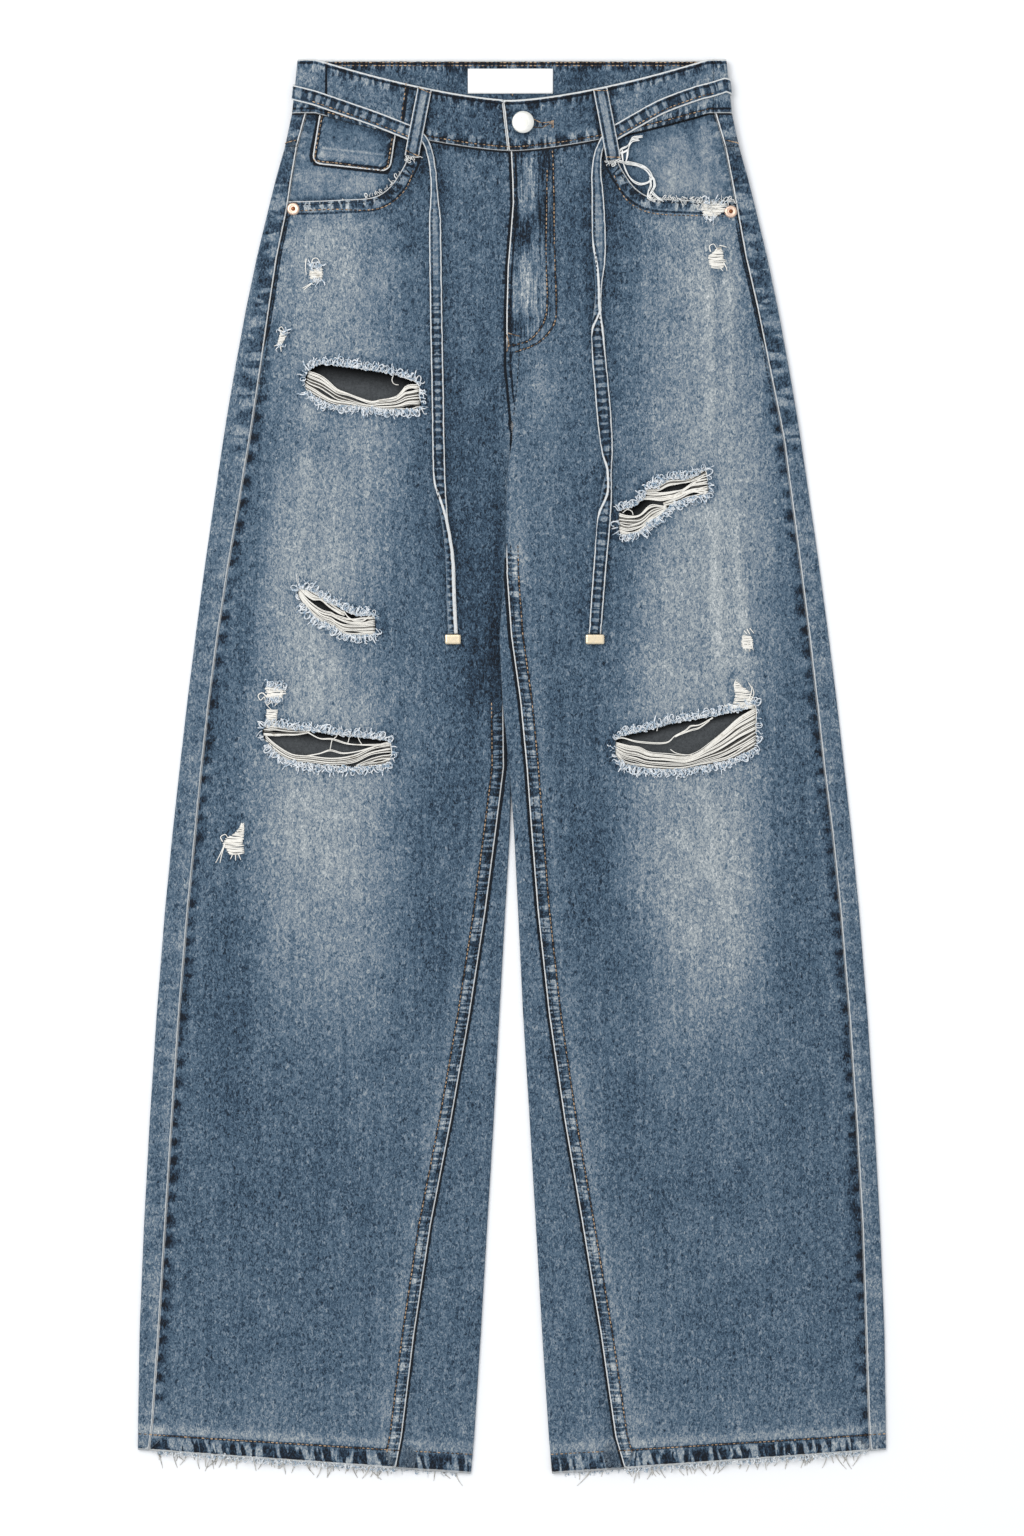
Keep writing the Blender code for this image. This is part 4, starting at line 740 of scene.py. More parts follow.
def denimMaterial(name, **changes):
    look = {**denimLook, **changes}
    material, node = newMaterial(name)
    place = node("TexCoord", out=3)
    given = {key: node("Attribute", out=2, attribute_name=key) for key in sheetValues}
    flat = node("Math", [given["ropeReach"], 0.45], operation="MULTIPLY")
    puckerPlace = node("CombineXYZ", [given["ropeAlong"], flat, given["ropeGain"]])
    noises = {}
    for key, (detail, roughness, distortion) in denimNoises.items():
        size = look.get(key + "Size")
        vector, scale = (puckerPlace, 1.7) if key == "pucker" else (place, 1)
        if isinstance(size, tuple):  # stretched along the warp
            across, along = [1 / (length * mm) for length in size]
            vector = node("Mapping", {"Vector": place, "Scale": (across, along, across)})
        elif size:
            scale = 1 / (size * mm)
        noises[key] = node("TexNoise", {"Vector": vector, "Scale": scale, "Detail": detail,
                                        "Roughness": roughness, "Distortion": distortion})
    crack = node("Math", [noises["crack"], 0.5], operation="SUBTRACT")
    crack = node("Math", [crack], operation="ABSOLUTE")
    crack = node("MapRange", [crack, 0, 0.055, 1, 0], **soft)
    pale = node("Math", [crack, -look["crack"]], operation="MULTIPLY")
    pale = node("Math", [pale, given["wash"]], operation="ADD")
    for key in ("grain", "slub", "cloud"):
        swing = node("MapRange", [noises[key], 0.2, 0.8, -look[key], look[key]], clamp=False)
        pale = node("Math", [pale, swing], operation="ADD")
    # warp yarns rubbed bare one by one, where the cloth has been creased hard
    streak = node("MapRange", [noises["streak"], 0.3, 0.7, -look["streak"], look["streak"]])
    streak = node("Math", [streak, given["streak"]], operation="MULTIPLY")

    # puckers beside a stitched edge: dark hollows between rubbed bumps
    wave = node("Math", [given["ropeAlong"], noises["pucker"]], operation="ADD")
    wave = node("Math", [wave, 2 * math.pi], operation="MULTIPLY")
    wave = node("Math", [wave], operation="SINE")
    wave = node("Math", [wave, look["ropeEven"]], operation="MULTIPLY")
    pucker = node("Math", [noises["pucker"], wave], operation="ADD")
    hollow = node("MapRange", [pucker, 0.38, 0.56], **soft)
    tone = node("MapRange", [hollow, 0, 1, look["ropePale"], -look["ropeDark"]])
    close = node("MapRange", [given["ropeReach"], 0.55, 1, 1, 0], **soft)
    close = node("Math", [close, given["ropeGain"]], operation="MULTIPLY")
    tone = node("Math", [tone, close], operation="MULTIPLY")
    for paler in (streak, tone):
        pale = node("Math", [pale, paler], operation="ADD")

    # the rubbed white edge, a painted shadow line beside it, painted shadow along the dark lines and painted
    # shade in the groove under the stitches
    fray = node("TexNoise", {"Vector": place, "Scale": 420, "Detail": 2})
    ragged = node("MapRange", [fray, 0, 1, -look["ragged"], look["ragged"]])
    edge = node("Math", [given["lineMm"], ragged], operation="ADD")
    start, stop = look["lineWidth"], look["lineWidth"] + look["lineSoft"]
    white = node("MapRange", [edge, start, stop, 0.92, 0], **soft)
    beside = node("MapRange", [edge, stop, stop + 1.8, look["shadowLine"], 0], **soft)
    white, beside = [node("Math", [v, given["lineGain"]], operation="MULTIPLY") for v in (white, beside)]
    shaded = node("Math", [given["darkMm"]], operation="ABSOLUTE")
    shaded = node("Math", [shaded, ragged], operation="ADD")
    shaded = node("MapRange", [shaded, 0.8, 1.8, 0.4, 0], **soft)
    groove = node("Math", [given["grooveMm"]], operation="ABSOLUTE")
    groove = node("MapRange", [groove, 0.45, 1.2, look["groove"], 0], **soft)
    for darker in (beside, shaded, groove):
        pale = node("Math", [pale, darker], operation="SUBTRACT")
    dye = node("ValToRGB", [pale])
    stops = dye.node.color_ramp.elements
    while len(stops) < len(denimSteps):
        stops.new(0.5)
    for made, (position, code) in zip(stops, denimSteps):
        made.position, made.color = position, linear(code)
    yarn = node("Mix", {0: white, 6: dye, 7: "#dfe0de"}, **rgba)

    dent = node("Math", [close, hollow], operation="MULTIPLY")
    height = node("Math", [noises["grain"], dent], operation="SUBTRACT")
    height = node("Math", [height, white], operation="ADD")
    endMaterial(node, yarn, height, look["bump"], 0.5, {
        "Roughness": look["roughness"], "Specular IOR Level": 0.25, "Sheen Weight": 0.08,
        "Sheen Roughness": 0.5})
    return material


denim = denimMaterial("stoneWashedDenim")
bandDenim = denimMaterial("waistbandDenim", ropeDark=0.19, ropePale=0.15, cloud=0.12, ropeEven=0.05)
wornDenim = denimMaterial("rubbedDenim", grain=0.17, cloud=0.11, cloudSize=20)
ribbonDenim = denimMaterial("tieDenim", ropeDark=0.22, ropePale=0.08, grain=0.16, lineWidth=0.6,
                            lineSoft=0.45, ropeEven=0.18, groove=0.12)

# The back of the same twill, undyed weft with a grey cast. Seen through a rip it is painted shade instead:
# charcoal, near black under the upper rim
insideLook = {"deep": "#08090a", "open": ("#27292b", "#5d6062"), "away": ("#6d757d", "#8d949b"), "reach": 17}
insideCloth, node = newMaterial("denimReverse")
place = node("TexCoord", out=3)
ripDepth = node("Attribute", out=2, attribute_name="ripDepth")
nap = node("TexNoise", {"Vector": place, "Scale": 560, "Detail": 2, "Roughness": 0.8})
patchy = node("TexNoise", {"Vector": place, "Scale": 60, "Detail": 2})
depth = node("Math", [ripDepth, insideLook["reach"]], operation="DIVIDE")
depth = node("MapRange", [depth], **soft)
opened, away = [node("Mix", {0: blend, 6: insideLook[key][0], 7: insideLook[key][1]}, **rgba)
                for blend, key in ((nap, "open"), (patchy, "away"))]
deep = node("Mix", {0: depth, 6: insideLook["deep"], 7: opened}, **rgba)
inRip = node("Math", [ripDepth, -0.5], operation="GREATER_THAN")
colour = node("Mix", {0: inRip, 6: away, 7: deep}, **rgba)
endMaterial(node, colour, nap, 0.5, 0.4, {"Roughness": 0.93, "Specular IOR Level": 0.15})


# Plated zinc and brass trims: smooth, softly bright, and a little cloudy from handling
def metalMaterial(name, face, hollow, roughness, hollowAt, scale):
    material, node = newMaterial(name)
    place = node("TexCoord", out=3)
    cloudy = node("TexNoise", {"Vector": place, "Scale": scale, "Detail": 3, "Roughness": 0.6})
    worn = node("MapRange", [cloudy, 0.3, 0.7, roughness - 0.07, roughness + 0.1])
    fromCentre = node("Attribute", out=2, attribute_name="centreMm")
    low = node("MapRange", [fromCentre, hollowAt, hollowAt + 0.4])
    tint = node("Mix", {0: low, 6: hollow, 7: face}, **rgba)
    tint = node("Mix", {0: cloudy, 6: tint, 7: face}, blend_type="MULTIPLY", clamp_factor=True, **rgba)
    endMaterial(node, tint, cloudy, 0.25, 0.3, {"Metallic": 1, "Roughness": worn})
    return material


silver = metalMaterial("satinNickel", "#f6f5f0", "#e9e8e2", 0.34, 3.8, 700)
roseBrass = metalMaterial("roseBrass", "#efd9c8", "#8a5b40", 0.36, 1.4, 900)
paleBrass = metalMaterial("paleBrass", "#f3e7d0", "#f3e7d0", 0.3, -9, 500)

# Woven cotton tape, undyed: matt white with a fine rib and a slightly raised selvedge
labelCotton, node = newMaterial("labelCotton")
rib = node("TexWave", {"Vector": node("TexCoord", out=3), "Scale": 330, "Distortion": 0.6, "Detail": 1},
           bands_direction="X")
tint = node("Mix", {0: rib, 6: "#eae9e6", 7: "#f8f7f5"}, **rgba)
edge = node("MapRange", [node("Attribute", out=2, attribute_name="lineMm"), 1.3, 1.9])
tint = node("Mix", {0: edge, 6: "#fbfaf8", 7: tint}, **rgba)
endMaterial(node, tint, rib, 0.3, 0.3, {"Roughness": 0.82, "Specular IOR Level": 0.3})
print("jeans: finishes made")


# Cloth sheets

panelLook = {
    "top": 498.5, "step": 2.65, "frontColumns": 88, "backStep": 3.6, "backColumns": 56, "seamRidge": 0.45,
    "hemBand": 12.2, "seamPeriod": 17.5, "inseamPeriod": 4, "scoopPeriod": 6.5, "hemPeriod": 7.2,
    "beatPeriod": 15.3, "hipLow": 250, "hipReach": 90, "stripReach": 14, "holeFit": 0.62, "far": 30,
}
cutSizes = {}  # width, length and area of each sheet before it is laid, in metres
pieces = {}


def finishPiece(piece, replaced=True):
    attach(piece, "root")
    if replaced:  # the part's node has the piece's name, with underscores in place of capitals
        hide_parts(re.sub("([A-Z])", r"_\1", piece.name).lower())
    pieces[piece.name] = piece
    return piece


def clothSheet(name, points, values, finish=(denim, insideCloth), keep=None, up=True,
               wall=garment["wall"]):
    x, y, z = np.broadcast_arrays(*points)
    rows, columns = x.shape
    index = np.arange(rows * columns).reshape(rows, columns)
    quads = np.stack([index[:-1, :-1], index[:-1, 1:], index[1:, 1:], index[1:, :-1]], axis=-1).reshape(-1, 4)
    across, down = [(x[k] - x[0, 0], y[k] - y[0, 0]) for k in ((0, 1), (1, 0))]
    if (across[0] * down[1] - across[1] * down[0] > 0) != up:
        quads = quads[:, ::-1]
    if keep is not None:
        quads = quads[keep.reshape(-1)]
    used, renumbered = np.unique(quads, return_inverse=True)
    grid = np.stack([x, y, z], axis=-1) * mm
    mesh = bpy.data.meshes.new(name)
    mesh.from_pydata(grid.reshape(-1, 3)[used].tolist(), [], renumbered.reshape(-1, 4).tolist())
    for key, usual in sheetValues.items():
        value = np.broadcast_to(values.get(key, usual), x.shape).reshape(-1)[used]
        mesh.attributes.new(key, "FLOAT", "POINT").data.foreach_set("value", value.astype(np.float32))
    for material in finish:
        mesh.materials.append(material)
    mesh.shade_smooth()
    sheet = placed(name, mesh)
    cloth = sheet.modifiers.new("clothThickness", "SOLIDIFY")
    cloth.thickness = wall * mm
    cloth.offset = -1
    if len(finish) > 1:
        cloth.material_offset = 1
    spans = [np.linalg.norm(np.diff(grid, axis=k), axis=2).sum(axis=k).max() for k in (1, 0)]
    cutSizes[name] = (*[round(float(span), 4) for span in spans], sum(face.area for face in mesh.polygons))
    return finishPiece(sheet)


# The tie's free ends

# Each row is x, y, width, and where the two white edge threads lie across it, from -1 to 1. They
# cross over where the tape twists.
tieEnds = {
    "right": [(-72.6, 481.9, 7, -1, 1), (-67, 478.6, 5.4, -1, 1), (-62.7, 468.2, 5, -1, 1),
        (-60.1, 452.9, 5, -1, 1), (-59.3, 437.6, 5.6, -1, 1), (-58.8, 420, 8.6, -1, 1),
        (-58.6, 403.2, 9.2, -1, 1), (-58.2, 372, 9.2, -1, 1), (-57.8, 342, 9.2, -1, 1),
        (-57.2, 311, 9.2, -1, 1), (-56.6, 280.8, 9.2, -1, 1), (-56.2, 250, 9.2, -1, 1),
        (-55.4, 219.6, 9.2, -0.9, 1), (-53.6, 203, 7.4, -0.2, 1), (-51.4, 189, 5.4, 0.4, 1),
        (-48.8, 172, 6.2, 0.5, 1), (-47.2, 156, 7, 0.5, 1), (-46.4, 129, 7.2, 0.5, 1),
        (-45.1, 101.7, 7.4, 0.5, 1)],
    "left": [(73.6, 482.4, 6, -1, 1), (69.8, 478, 5, -1, 1), (65.8, 468.2, 6, -1, 1),
        (64.3, 452.9, 7.6, -1, 1), (65, 441.4, 8.6, -1, 1), (65.8, 422, 10, -1, 1),
        (66.3, 403.2, 10.3, -1, 1), (66.6, 386.3, 9.2, -0.5, 1), (66.1, 368, 5.4, 0, 1),
        (65.5, 352, 5.4, 0.4, 1), (65.3, 334, 9.2, 0.8, -0.9), (66.4, 312, 10.5, 1, -1),
        (68.5, 289, 10.8, 1, -1), (70.4, 265.5, 10.9, 1, -1), (72.6, 241, 8.6, 1, -1),
        (73.8, 225.7, 4.6, 1, -0.4), (72.2, 210, 8.2, 1, 0.2), (70.2, 189, 10.2, 1, -1),
        (67.6, 158.4, 9.9, 1, -1), (65.2, 127.8, 9.6, 1, -1), (63.3, 101.7, 9.2, 1, -1)],
}
tieLook = {
    "wall": 1.2, "gap": 0.6, "onBand": 9.3, "step": (470, 477), "wash": 0.455, "period": 6, "fullWidth": 9.5,
    "roll": 0.3, "ruffle": 0.35, "pieces": 7, "columns": 11,
    "diameterMetres": {"right": 0.0095, "left": 0.0105},
}
tipLook = {"right": (12.2, 7.6, 3.4), "left": (14.5, 7.6, 3.4), "bevel": 1.5, "gap": 0.5}


def bevelledBlock(name, size, place, low, bevel, segments, finish):
    shape = bmesh.new()
    bmesh.ops.create_cube(shape, size=1)
    bmesh.ops.scale(shape, vec=Vector(size) * mm, verts=shape.verts)
    bmesh.ops.bevel(shape, geom=shape.verts[:] + shape.edges[:], offset=bevel * mm, segments=segments,
                    affect="EDGES", profile=0.6)
    bmesh.ops.translate(shape, vec=Vector((place[0], place[1], low + size[2] / 2)) * mm, verts=shape.verts)
    bmesh.ops.recalc_face_normals(shape, faces=shape.faces)
    mesh = bpy.data.meshes.new(name)
    shape.to_mesh(mesh)
    shape.free()
    mesh.materials.append(finish)
    return placed(name, mesh)


def noiseAt(values, second, third):
    return np.reshape([noise.noise(Vector((v, second, third))) for v in np.ravel(values)], np.shape(values))


def tieEnd(side):
    name, sign = side["name"], side["sign"]
    line = np.array(curveThrough(tieEnds[name], tieLook["pieces"]))
    x, y, width, first, second = line.T[:, :, None]
    tangent = np.stack([np.gradient(x, axis=0), np.gradient(y, axis=0)])
    tangent = tangent / np.hypot(*tangent)
    ruffled = [width / 2 + tieLook["ruffle"] * noiseAt(y / 5, k * 9.1, sign) for k in (0, 1)]
    share = np.linspace(-1, 1, tieLook["columns"])
    half = np.where(share < 0, *ruffled)
    across = share * half
    panel = np.max([topAt(side, sign * (x + d), y) for d in (-width / 2, 0 * width, width / 2)], axis=0)
    start, stop = tieLook["step"]
    top = np.maximum(panel + tieLook["gap"], tieLook["onBand"] * smooth((y - start) / (stop - start)))
    top = top + tieLook["wall"]
    rolled = np.clip(tieLook["fullWidth"] - width, 0, 5) * tieLook["roll"]
    points = x - tangent[1] * across, y + tangent[0] * across, top + rolled * (1 - share ** 2)
    along = runningTotal(np.hypot(np.diff(x[:, 0]), np.diff(y[:, 0])))[:, None]
    facing = 1 if tangent[1].mean() < 0 else -1
    toThread = least(*[np.abs(facing * share - thread) * half for thread in (first, second)])
    upper = smooth((y - 335) / 50)  # rubbed smooth near the loop
    values = {
        "wash": tieLook["wash"] + (0.1 * np.clip((7.5 - width) / 3, 0, 1) + 0.05 * upper),
        "lineMm": toThread, "grooveMm": toThread - 1.9, "ropeReach": 0.25 + np.abs(share) * 0.75,
        "ropeAlong": along / tieLook["period"], "ropeGain": 1 - 0.7 * upper,
    }
    end = clothSheet("tieEnd" + name.title(), points, values, finish=(ribbonDenim,), wall=tieLook["wall"])
    size = tipLook[name]
    place = (x[-1, 0], y[-1, 0] - tipLook["gap"] - size[1] / 2)
    low = float(topAt(side, sign * place[0], place[1])) + tipLook["gap"]
    tip = bevelledBlock("tieTip" + name.title(), size, place, low, tipLook["bevel"], 3, paleBrass)
    finishPiece(tip)


for side in sides.values():
    tieEnd(side)
print("jeans: tie ends laid")


# Panels

def fitToHoles(x, y, outlines):  # moves the points next to a hole onto its edge
    for outline in outlines:
        near = boxed(x, y, outline, 6)
        if near.any():
            away, _, edge = distanceTo(x[near], y[near], outline, closed=True)
            moved = away < panelLook["holeFit"] * panelLook["step"]
            x[near] = np.where(moved, edge[0], x[near])
            y[near] = np.where(moved, edge[1], y[near])
    return x, y


def holesIn(x, y, outlines):  # which faces to keep
    cx, cy = [(v[:-1, :-1] + v[:-1, 1:] + v[1:, 1:] + v[1:, :-1]) / 4 for v in (x, y)]
    return ~np.any([insideOf(cx, cy, outline) for outline in outlines], axis=0)


def scoopOutline(sign):
    line = [(sign * a, y) for a, y in curveThrough(scoopLine, 6)]
    return line, line + [(sign * 215, line[-1][1]), (sign * 215, 520), (sign * scoopLine[0][0], 520)]


flyOuter = [(30.8, 469.3), (31.7, 449.8), (32.6, 387.9), (33.7, 357.3), (32.1, 338.1), (20.3, 324),
            (3.1, 317)]
flyInner = [(26.8, 454.4), (26, 387.9), (26.8, 357.3), (24.5, 340), (13.8, 326.1), (-1.6, 321.6)]


def flyPanel(x, y):  # how far inside the J-stitched fly a point of the left front is
    line = curveThrough([(31.5, 480)] + flyOuter[1:], 4)
    away = distanceTo(x, y, line)[0]
    return np.where(insideOf(x, y, line + [(-20, 317), (-20, 480)]), away, -away)


# Worn streaks down the fly: x, y, reach across and along, how much paler
flyStreaks = [(14.5, 448, 4.6, 26, 0.1), (9, 409, 6.5, 13, -0.21), (22.5, 428, 3.6, 36, -0.22),
    (11.5, 365, 9.5, 19, 0.17), (26, 345, 4, 9, -0.12), (25, 466, 4, 8, -0.16), (27.5, 400, 2, 14, -0.08),
    (1, 418, 3, 12, -0.12), (6, 372, 4, 14, 0.06), (4, 337, 9, 9, -0.14), (18.5, 375, 2.6, 16, -0.06),
    (15, 476, 22, 5, -0.1), (25.6, 385, 1.6, 60, 0.07), (2.5, 430, 3, 46, -0.05)]
seamStart = {"right": 52, "left": 172}  # the inseam's stitched strip turns to the back above this


def sewnAt(side, y):  # where the inseam's stitched strip shows
    return smooth((seamStart[side["name"]] - y) / panelLook["stripReach"])


def hipAt(y):
    return smooth((y - panelLook["hipLow"]) / panelLook["hipReach"])


def frontPanel(side):
    name, sign, isLeft = side["name"], side["sign"], side["sign"] > 0
    rows = stations(panelLook["top"], garment["hem"], panelLook["step"])
    made = [frontRow(side, h, panelLook["frontColumns"]) for h in rows]
    a, y, z, toInner = np.array(made).swapaxes(0, 1)
    x, toOuter = sign * a, toInner[:, -1:] - toInner
    fromBand, fromHem = panelLook["top"] - rows[:, None], rows[:, None] - garment["hem"]
    aboveHem = fromHem - panelLook["hemBand"]
    scoop, scoopCut = scoopOutline(sign)
    mine = [rip["rim"] for rip in rips.values() if rip["side"] == name]
    x, y = fitToHoles(x, y, mine + [scoopCut])
    keep = holesIn(x, y, mine + [scoopCut])
    toScoop, scoopAlong, _ = distanceTo(x, y, scoop)
    sewn, offHip = sewnAt(side, y), 1 - hipAt(y)
    lift, paler = creaseAt(x, y, creases)
    ridge = panelLook["seamRidge"]
    bump = ridge * bell(toOuter - 4.5, 3.2) + ridge * bell(toScoop - 4.5, 3.2)
    bump = bump + sewn * ridge * bell(toInner - 5, 3.6) * smooth((toInner - 0.6) / 3)
    bump = bump + ridge * bell(fromHem - 6, 5)
    wash = washAt(side, x, y) + paler
    far = panelLook["far"]
    fly, streak = far, 0
    if isLeft:
        inside = flyPanel(x, y)
        bump = bump + 0.5 * smooth(inside / 2.5 + 0.5)
        streak = smooth(inside / 3)
        for sx, sy, rx, ry, gain in flyStreaks:
            wander = 1.2 * np.sin(y / 17 + sx)
            wash = wash + gain * np.exp(-((x - sx - wander) / rx) ** 2 - np.abs((y - sy) / ry) ** 3) * streak
        # painted shade in the grooves under the fly's stitches
        fly = least(*[distanceTo(x, y, curveThrough(line, 4))[0] for line in (flyOuter, flyInner)]) - 0.2
        fly = np.minimum(fly, np.where(y > 278, toInner - 3.1, far))
    z = z + (lift + bump) * smooth((z - 0.5) / 2)
    # painted shadow under the waistband seam, the paler strip beside the inseam's stitches, painted shade
    # below the scoop's stitches, the hem
    marks = [(fromBand, 0, 6, -0.06), (toInner, 14, 4.5, sewn * 0.06), (toScoop, 13, 4, -0.07),
             (aboveHem, 4.2, 3.4, 0.14), (aboveHem, 0, 46, 0.05)]
    # painted shadow on the cloth under the frayed ends
    marks += [(distanceTo(x, y, outline[::3], closed=True)[0], 3, 4.5, -0.12) for outline in mine]
    # painted shadow round each nick
    for nick in nicks:
        if nick["side"] == name:
            table = np.array(nick["rows"])
            away = distanceTo(x, y, [tuple(row[:2]) for row in table])[0]
            marks.append((away - table[:, 2].mean() / 2, 1, 2.6, -0.1))
    # round puckers at even distances beside the side seam, and the inseam strip's rubbed ridge
    beat = y / panelLook["beatPeriod"] + 0.18 * np.sin(y / 23) + 0.3 * sign
    beat = 0.5 + 0.5 * np.cos(2 * np.pi * beat)
    marks += [(toOuter, 2.8, 3, -0.27 * offHip * beat ** 2), (toInner, 6.2, 2, 0.13 * sewn)]
    # at the hips the white edge is the back's, and lower down it is the front's
    outerGain = (0.35 + 0.3 * smooth((-380 - y) / 60)) * offHip
    innerGain = sewn + smooth((y - 318) / 12) if isLeft else 0.8 * sewn
    line, lineGain = nearest([(toOuter + 0.3, outerGain), (toScoop + 0.1, 0.85), (toInner, innerGain),
                              (fromHem - 0.5, 0.78)], x.shape)
    # painted shadow lines in the side seam at the hip, under the waistband and along the right front's inner
    # edge above its inseam strip, then painted shade in the grooves under the stitches
    dark = least(toOuter + 9 * offHip, fromBand, fromBand if isLeft else toInner - 0.4 + far * sewn)
    groove = least(toOuter - 2.3 + far * offHip, toInner - 9 + far * (1 - sewn), toScoop - 9.6,
                   fromHem - panelLook["hemBand"], fly)
    inLeg = fromHem < garment["crotch"] - garment["hem"]
    reach, place, gain = nearest([
        (toOuter / 10, y / panelLook["seamPeriod"] + (0 if isLeft else 4.4), 0.35),
        (toScoop / 9.5, scoopAlong / panelLook["scoopPeriod"], 1.3),
        (toInner / 11.5 + np.where(inLeg, 0, 0.4), y / panelLook["inseamPeriod"] + 7.3,
         np.where(inLeg, 0.95 * sewn, 0.45)),
        (fromHem / 13.5, x / panelLook["hemPeriod"] + y / 60, 1.35), (fromBand / 8, x / 6, 0.5)], x.shape)
    values = {"wash": wearAndShade(wash, marks), "lineMm": line, "lineGain": lineGain, "darkMm": dark,
              "ropeReach": reach, "ropeAlong": place, "ropeGain": gain, "grooveMm": groove,
              "streak": 0.1 * bell(aboveHem - 3, 6) + streak}
    clothSheet("frontPanel" + name.title(), (x, y, z), values, keep=keep)


def backSheet(side, top, low, name, shift):
    rows = stations(top, low, panelLook["backStep"])
    a, y, z, toOuter = np.array([backRow(side, h, panelLook["backColumns"]) for h in rows]).swapaxes(0, 1)
    y = y + shift
    x, toInner, level = side["sign"] * a, toOuter[:, -1:] - toOuter, rows[:, None]
    fromHem = level - garment["hem"]
    aboveHem = fromHem - panelLook["hemBand"]
    lift, paler = creaseAt(x, y, backCreases)
    edgeFree = smooth(np.minimum(toOuter - 30, toInner - 14) / 20)
    z = z + np.where(z < undersideAt(side, a, y) + 0.2, np.maximum(0, lift) * edgeFree, 0)
    onTop = smooth((26 - toOuter) / 6)
    inLeg = level < garment["crotch"]
    wash = 0.38 + 0.035 * onTop + 0.1 * (1 - onTop) * np.exp(-(np.abs(np.abs(x) - 120) / 62) ** 3) * (
        smooth((y + 220) / 160)) + paler * (1 - onTop)
    wash = wearAndShade(wash, [(aboveHem, 4.2, 3.4, 0.13), (aboveHem, 0, 46, 0.03)])
    hip, sewn = hipAt(y), sewnAt(side, y)
    wash = wash + 0.15 * (1 - hip) * np.exp(-toOuter / 3.2)
    edges = [(toOuter, hip + 0.75 * (1 - hip)), (toInner + 3, 0), (fromHem - 0.4, 0.6)]
    line, lineGain = nearest(edges, x.shape)
    # painted shadow line in the gap beside the inseam's stitched strip, and under the top edge
    dark = np.minimum(np.maximum(0, toInner - 0.8) + panelLook["far"] * (1 - sewn), panelLook["top"] - level)
    reach, place, gain = nearest([
        (toOuter / 17, y / 13 + 3.1, np.where(y > 240, 0.75, 0.18)),
        (toInner / 11, y / panelLook["inseamPeriod"] + 2.2, np.where(inLeg, 0.12 * sewn, 0.9)),
        (fromHem / 14.5, x / panelLook["hemPeriod"] + y / 60, 1.2 - 0.5 * onTop),
        (np.abs(level - garment["yokeSeam"]) / 9, x / 7, 0.8)], x.shape)
    # depth under each rip's upper rim, for the painted shade seen through it
    depth = np.full(x.shape, -1.0)
    for rip in rips.values():
        if rip["side"] == side["name"]:
            rim = rip["rim"]
            away = distanceTo(x, y, rim, closed=True)[0]
            below = distanceTo(x, y, rim[:len(rim) // 2])[0] * rip.get("light", 1)
            around = np.where(away < 9, np.maximum(depth, 0), depth)
            depth = np.where(insideOf(x, y, rim), below, around)
    values = {"wash": wash, "lineMm": line, "lineGain": lineGain, "darkMm": dark, "ropeReach": reach,
              "ropeAlong": place, "ropeGain": gain, "ripDepth": depth}
    clothSheet(name + side["label"], (x, y, z), values)


for side in sides.values():
    frontPanel(side)
    half = garment["seamGap"] / 2
    backSheet(side, garment["yokeSeam"], garment["hem"], "backPanel", -half)
    backSheet(side, panelLook["top"], garment["yokeSeam"], "backYoke", half)
print("jeans: panels made")


# Pockets, waistband, loops and tie

pocketLook = {"facingInner": 72, "facingLow": 418, "coinOuter": (147, 153), "coinInner": (88.5, 93),
              "coinLow": (460.5, 454), "coinCorner": 7, "backCentre": (88, 330),
              "backCorners": [(-73, 72), (73, 74), (-67, -54), (66, -52), (0, -76)]}


def shares(rows, columns):
    return np.meshgrid(np.linspace(0, 1, rows), np.linspace(0, 1, columns), indexing="ij")


def coinOutline():  # the coin pocket's sides and lower edge
    (outTop, outLow), (inTop, inLow) = pocketLook["coinOuter"], pocketLook["coinInner"]
    lowOut, lowIn = pocketLook["coinLow"]
    corner = pocketLook["coinCorner"]
    return curveThrough([
        (-outTop, 496), (-outLow, lowOut + corner), (-outLow + 0.3 * corner, lowOut + 0.2 * corner),
        (-outLow + corner, lowOut - 0.5), (-inLow - corner, lowIn + 0.5),
        (-inLow - 0.3 * corner, lowIn + 0.2 * corner), (-inLow, lowIn + corner), (-inTop, 480)], 4)


def pocketFacing(side):
    sign = side["sign"]
    down, across = shares(26, 46)
    level = between(band["seam"], pocketLook["facingLow"], down)
    end = at(body["outer"], level) - at(side["outseam"], level) - garment["seamGap"] / 2
    a = between(pocketLook["facingInner"], end, across)
    high = bandSeam(a) - garment["seamGap"]
    y = between(high, pocketLook["facingLow"], down)
    z = topAt(side, a, y) - garment["wall"] - garment["layerGap"]
    toScoop = distanceTo(sign * a, y, scoopOutline(sign)[0])[0]
    # painted shadow under the scoop's edge and under the waistband seam; the facing is also darker towards
    # its inner end
    wash = wearAndShade(0.475, [(toScoop, 0, 4, -0.19), (high - y, 0, 9, -0.15)])
    wash = wash + 0.06 * np.exp(-((y - 450) / 9) ** 2 - ((a - 128) / 30) ** 2)
    wash = wash - 0.12 * smooth((112 - a) / 24)
    # painted shadow lines under the waistband and, on the right, round the coin pocket, with a softer painted
    # shadow beside it
    dark = high - y + 0.3
    if sign > 0:
        wash = wearAndShade(wash, [(a, 146, 5, 0.05), (a, 125, 9, 0.05)])
        # painted shade in the hollow of the torn pocket corner
        wash = wash - 0.1 * np.exp(-((a - 101) / 9) ** 2 - ((y - 447) / 9) ** 2)
    else:
        toCoin = distanceTo(-a, y, coinOutline())[0]
        dark = np.minimum(dark, np.maximum(toCoin - 0.4, 0))
        wash = wearAndShade(wash, [(toCoin, 2, 4, -0.08)])
    values = {"wash": wash, "lineMm": end - a + 0.5, "lineGain": 0.6, "darkMm": dark,
              "ropeReach": (end - a) / 9, "ropeAlong": y / 8, "ropeGain": 0.5}
    clothSheet("pocketFacing" + side["label"], (sign * a, y, z), values,
               (wornDenim, insideCloth))


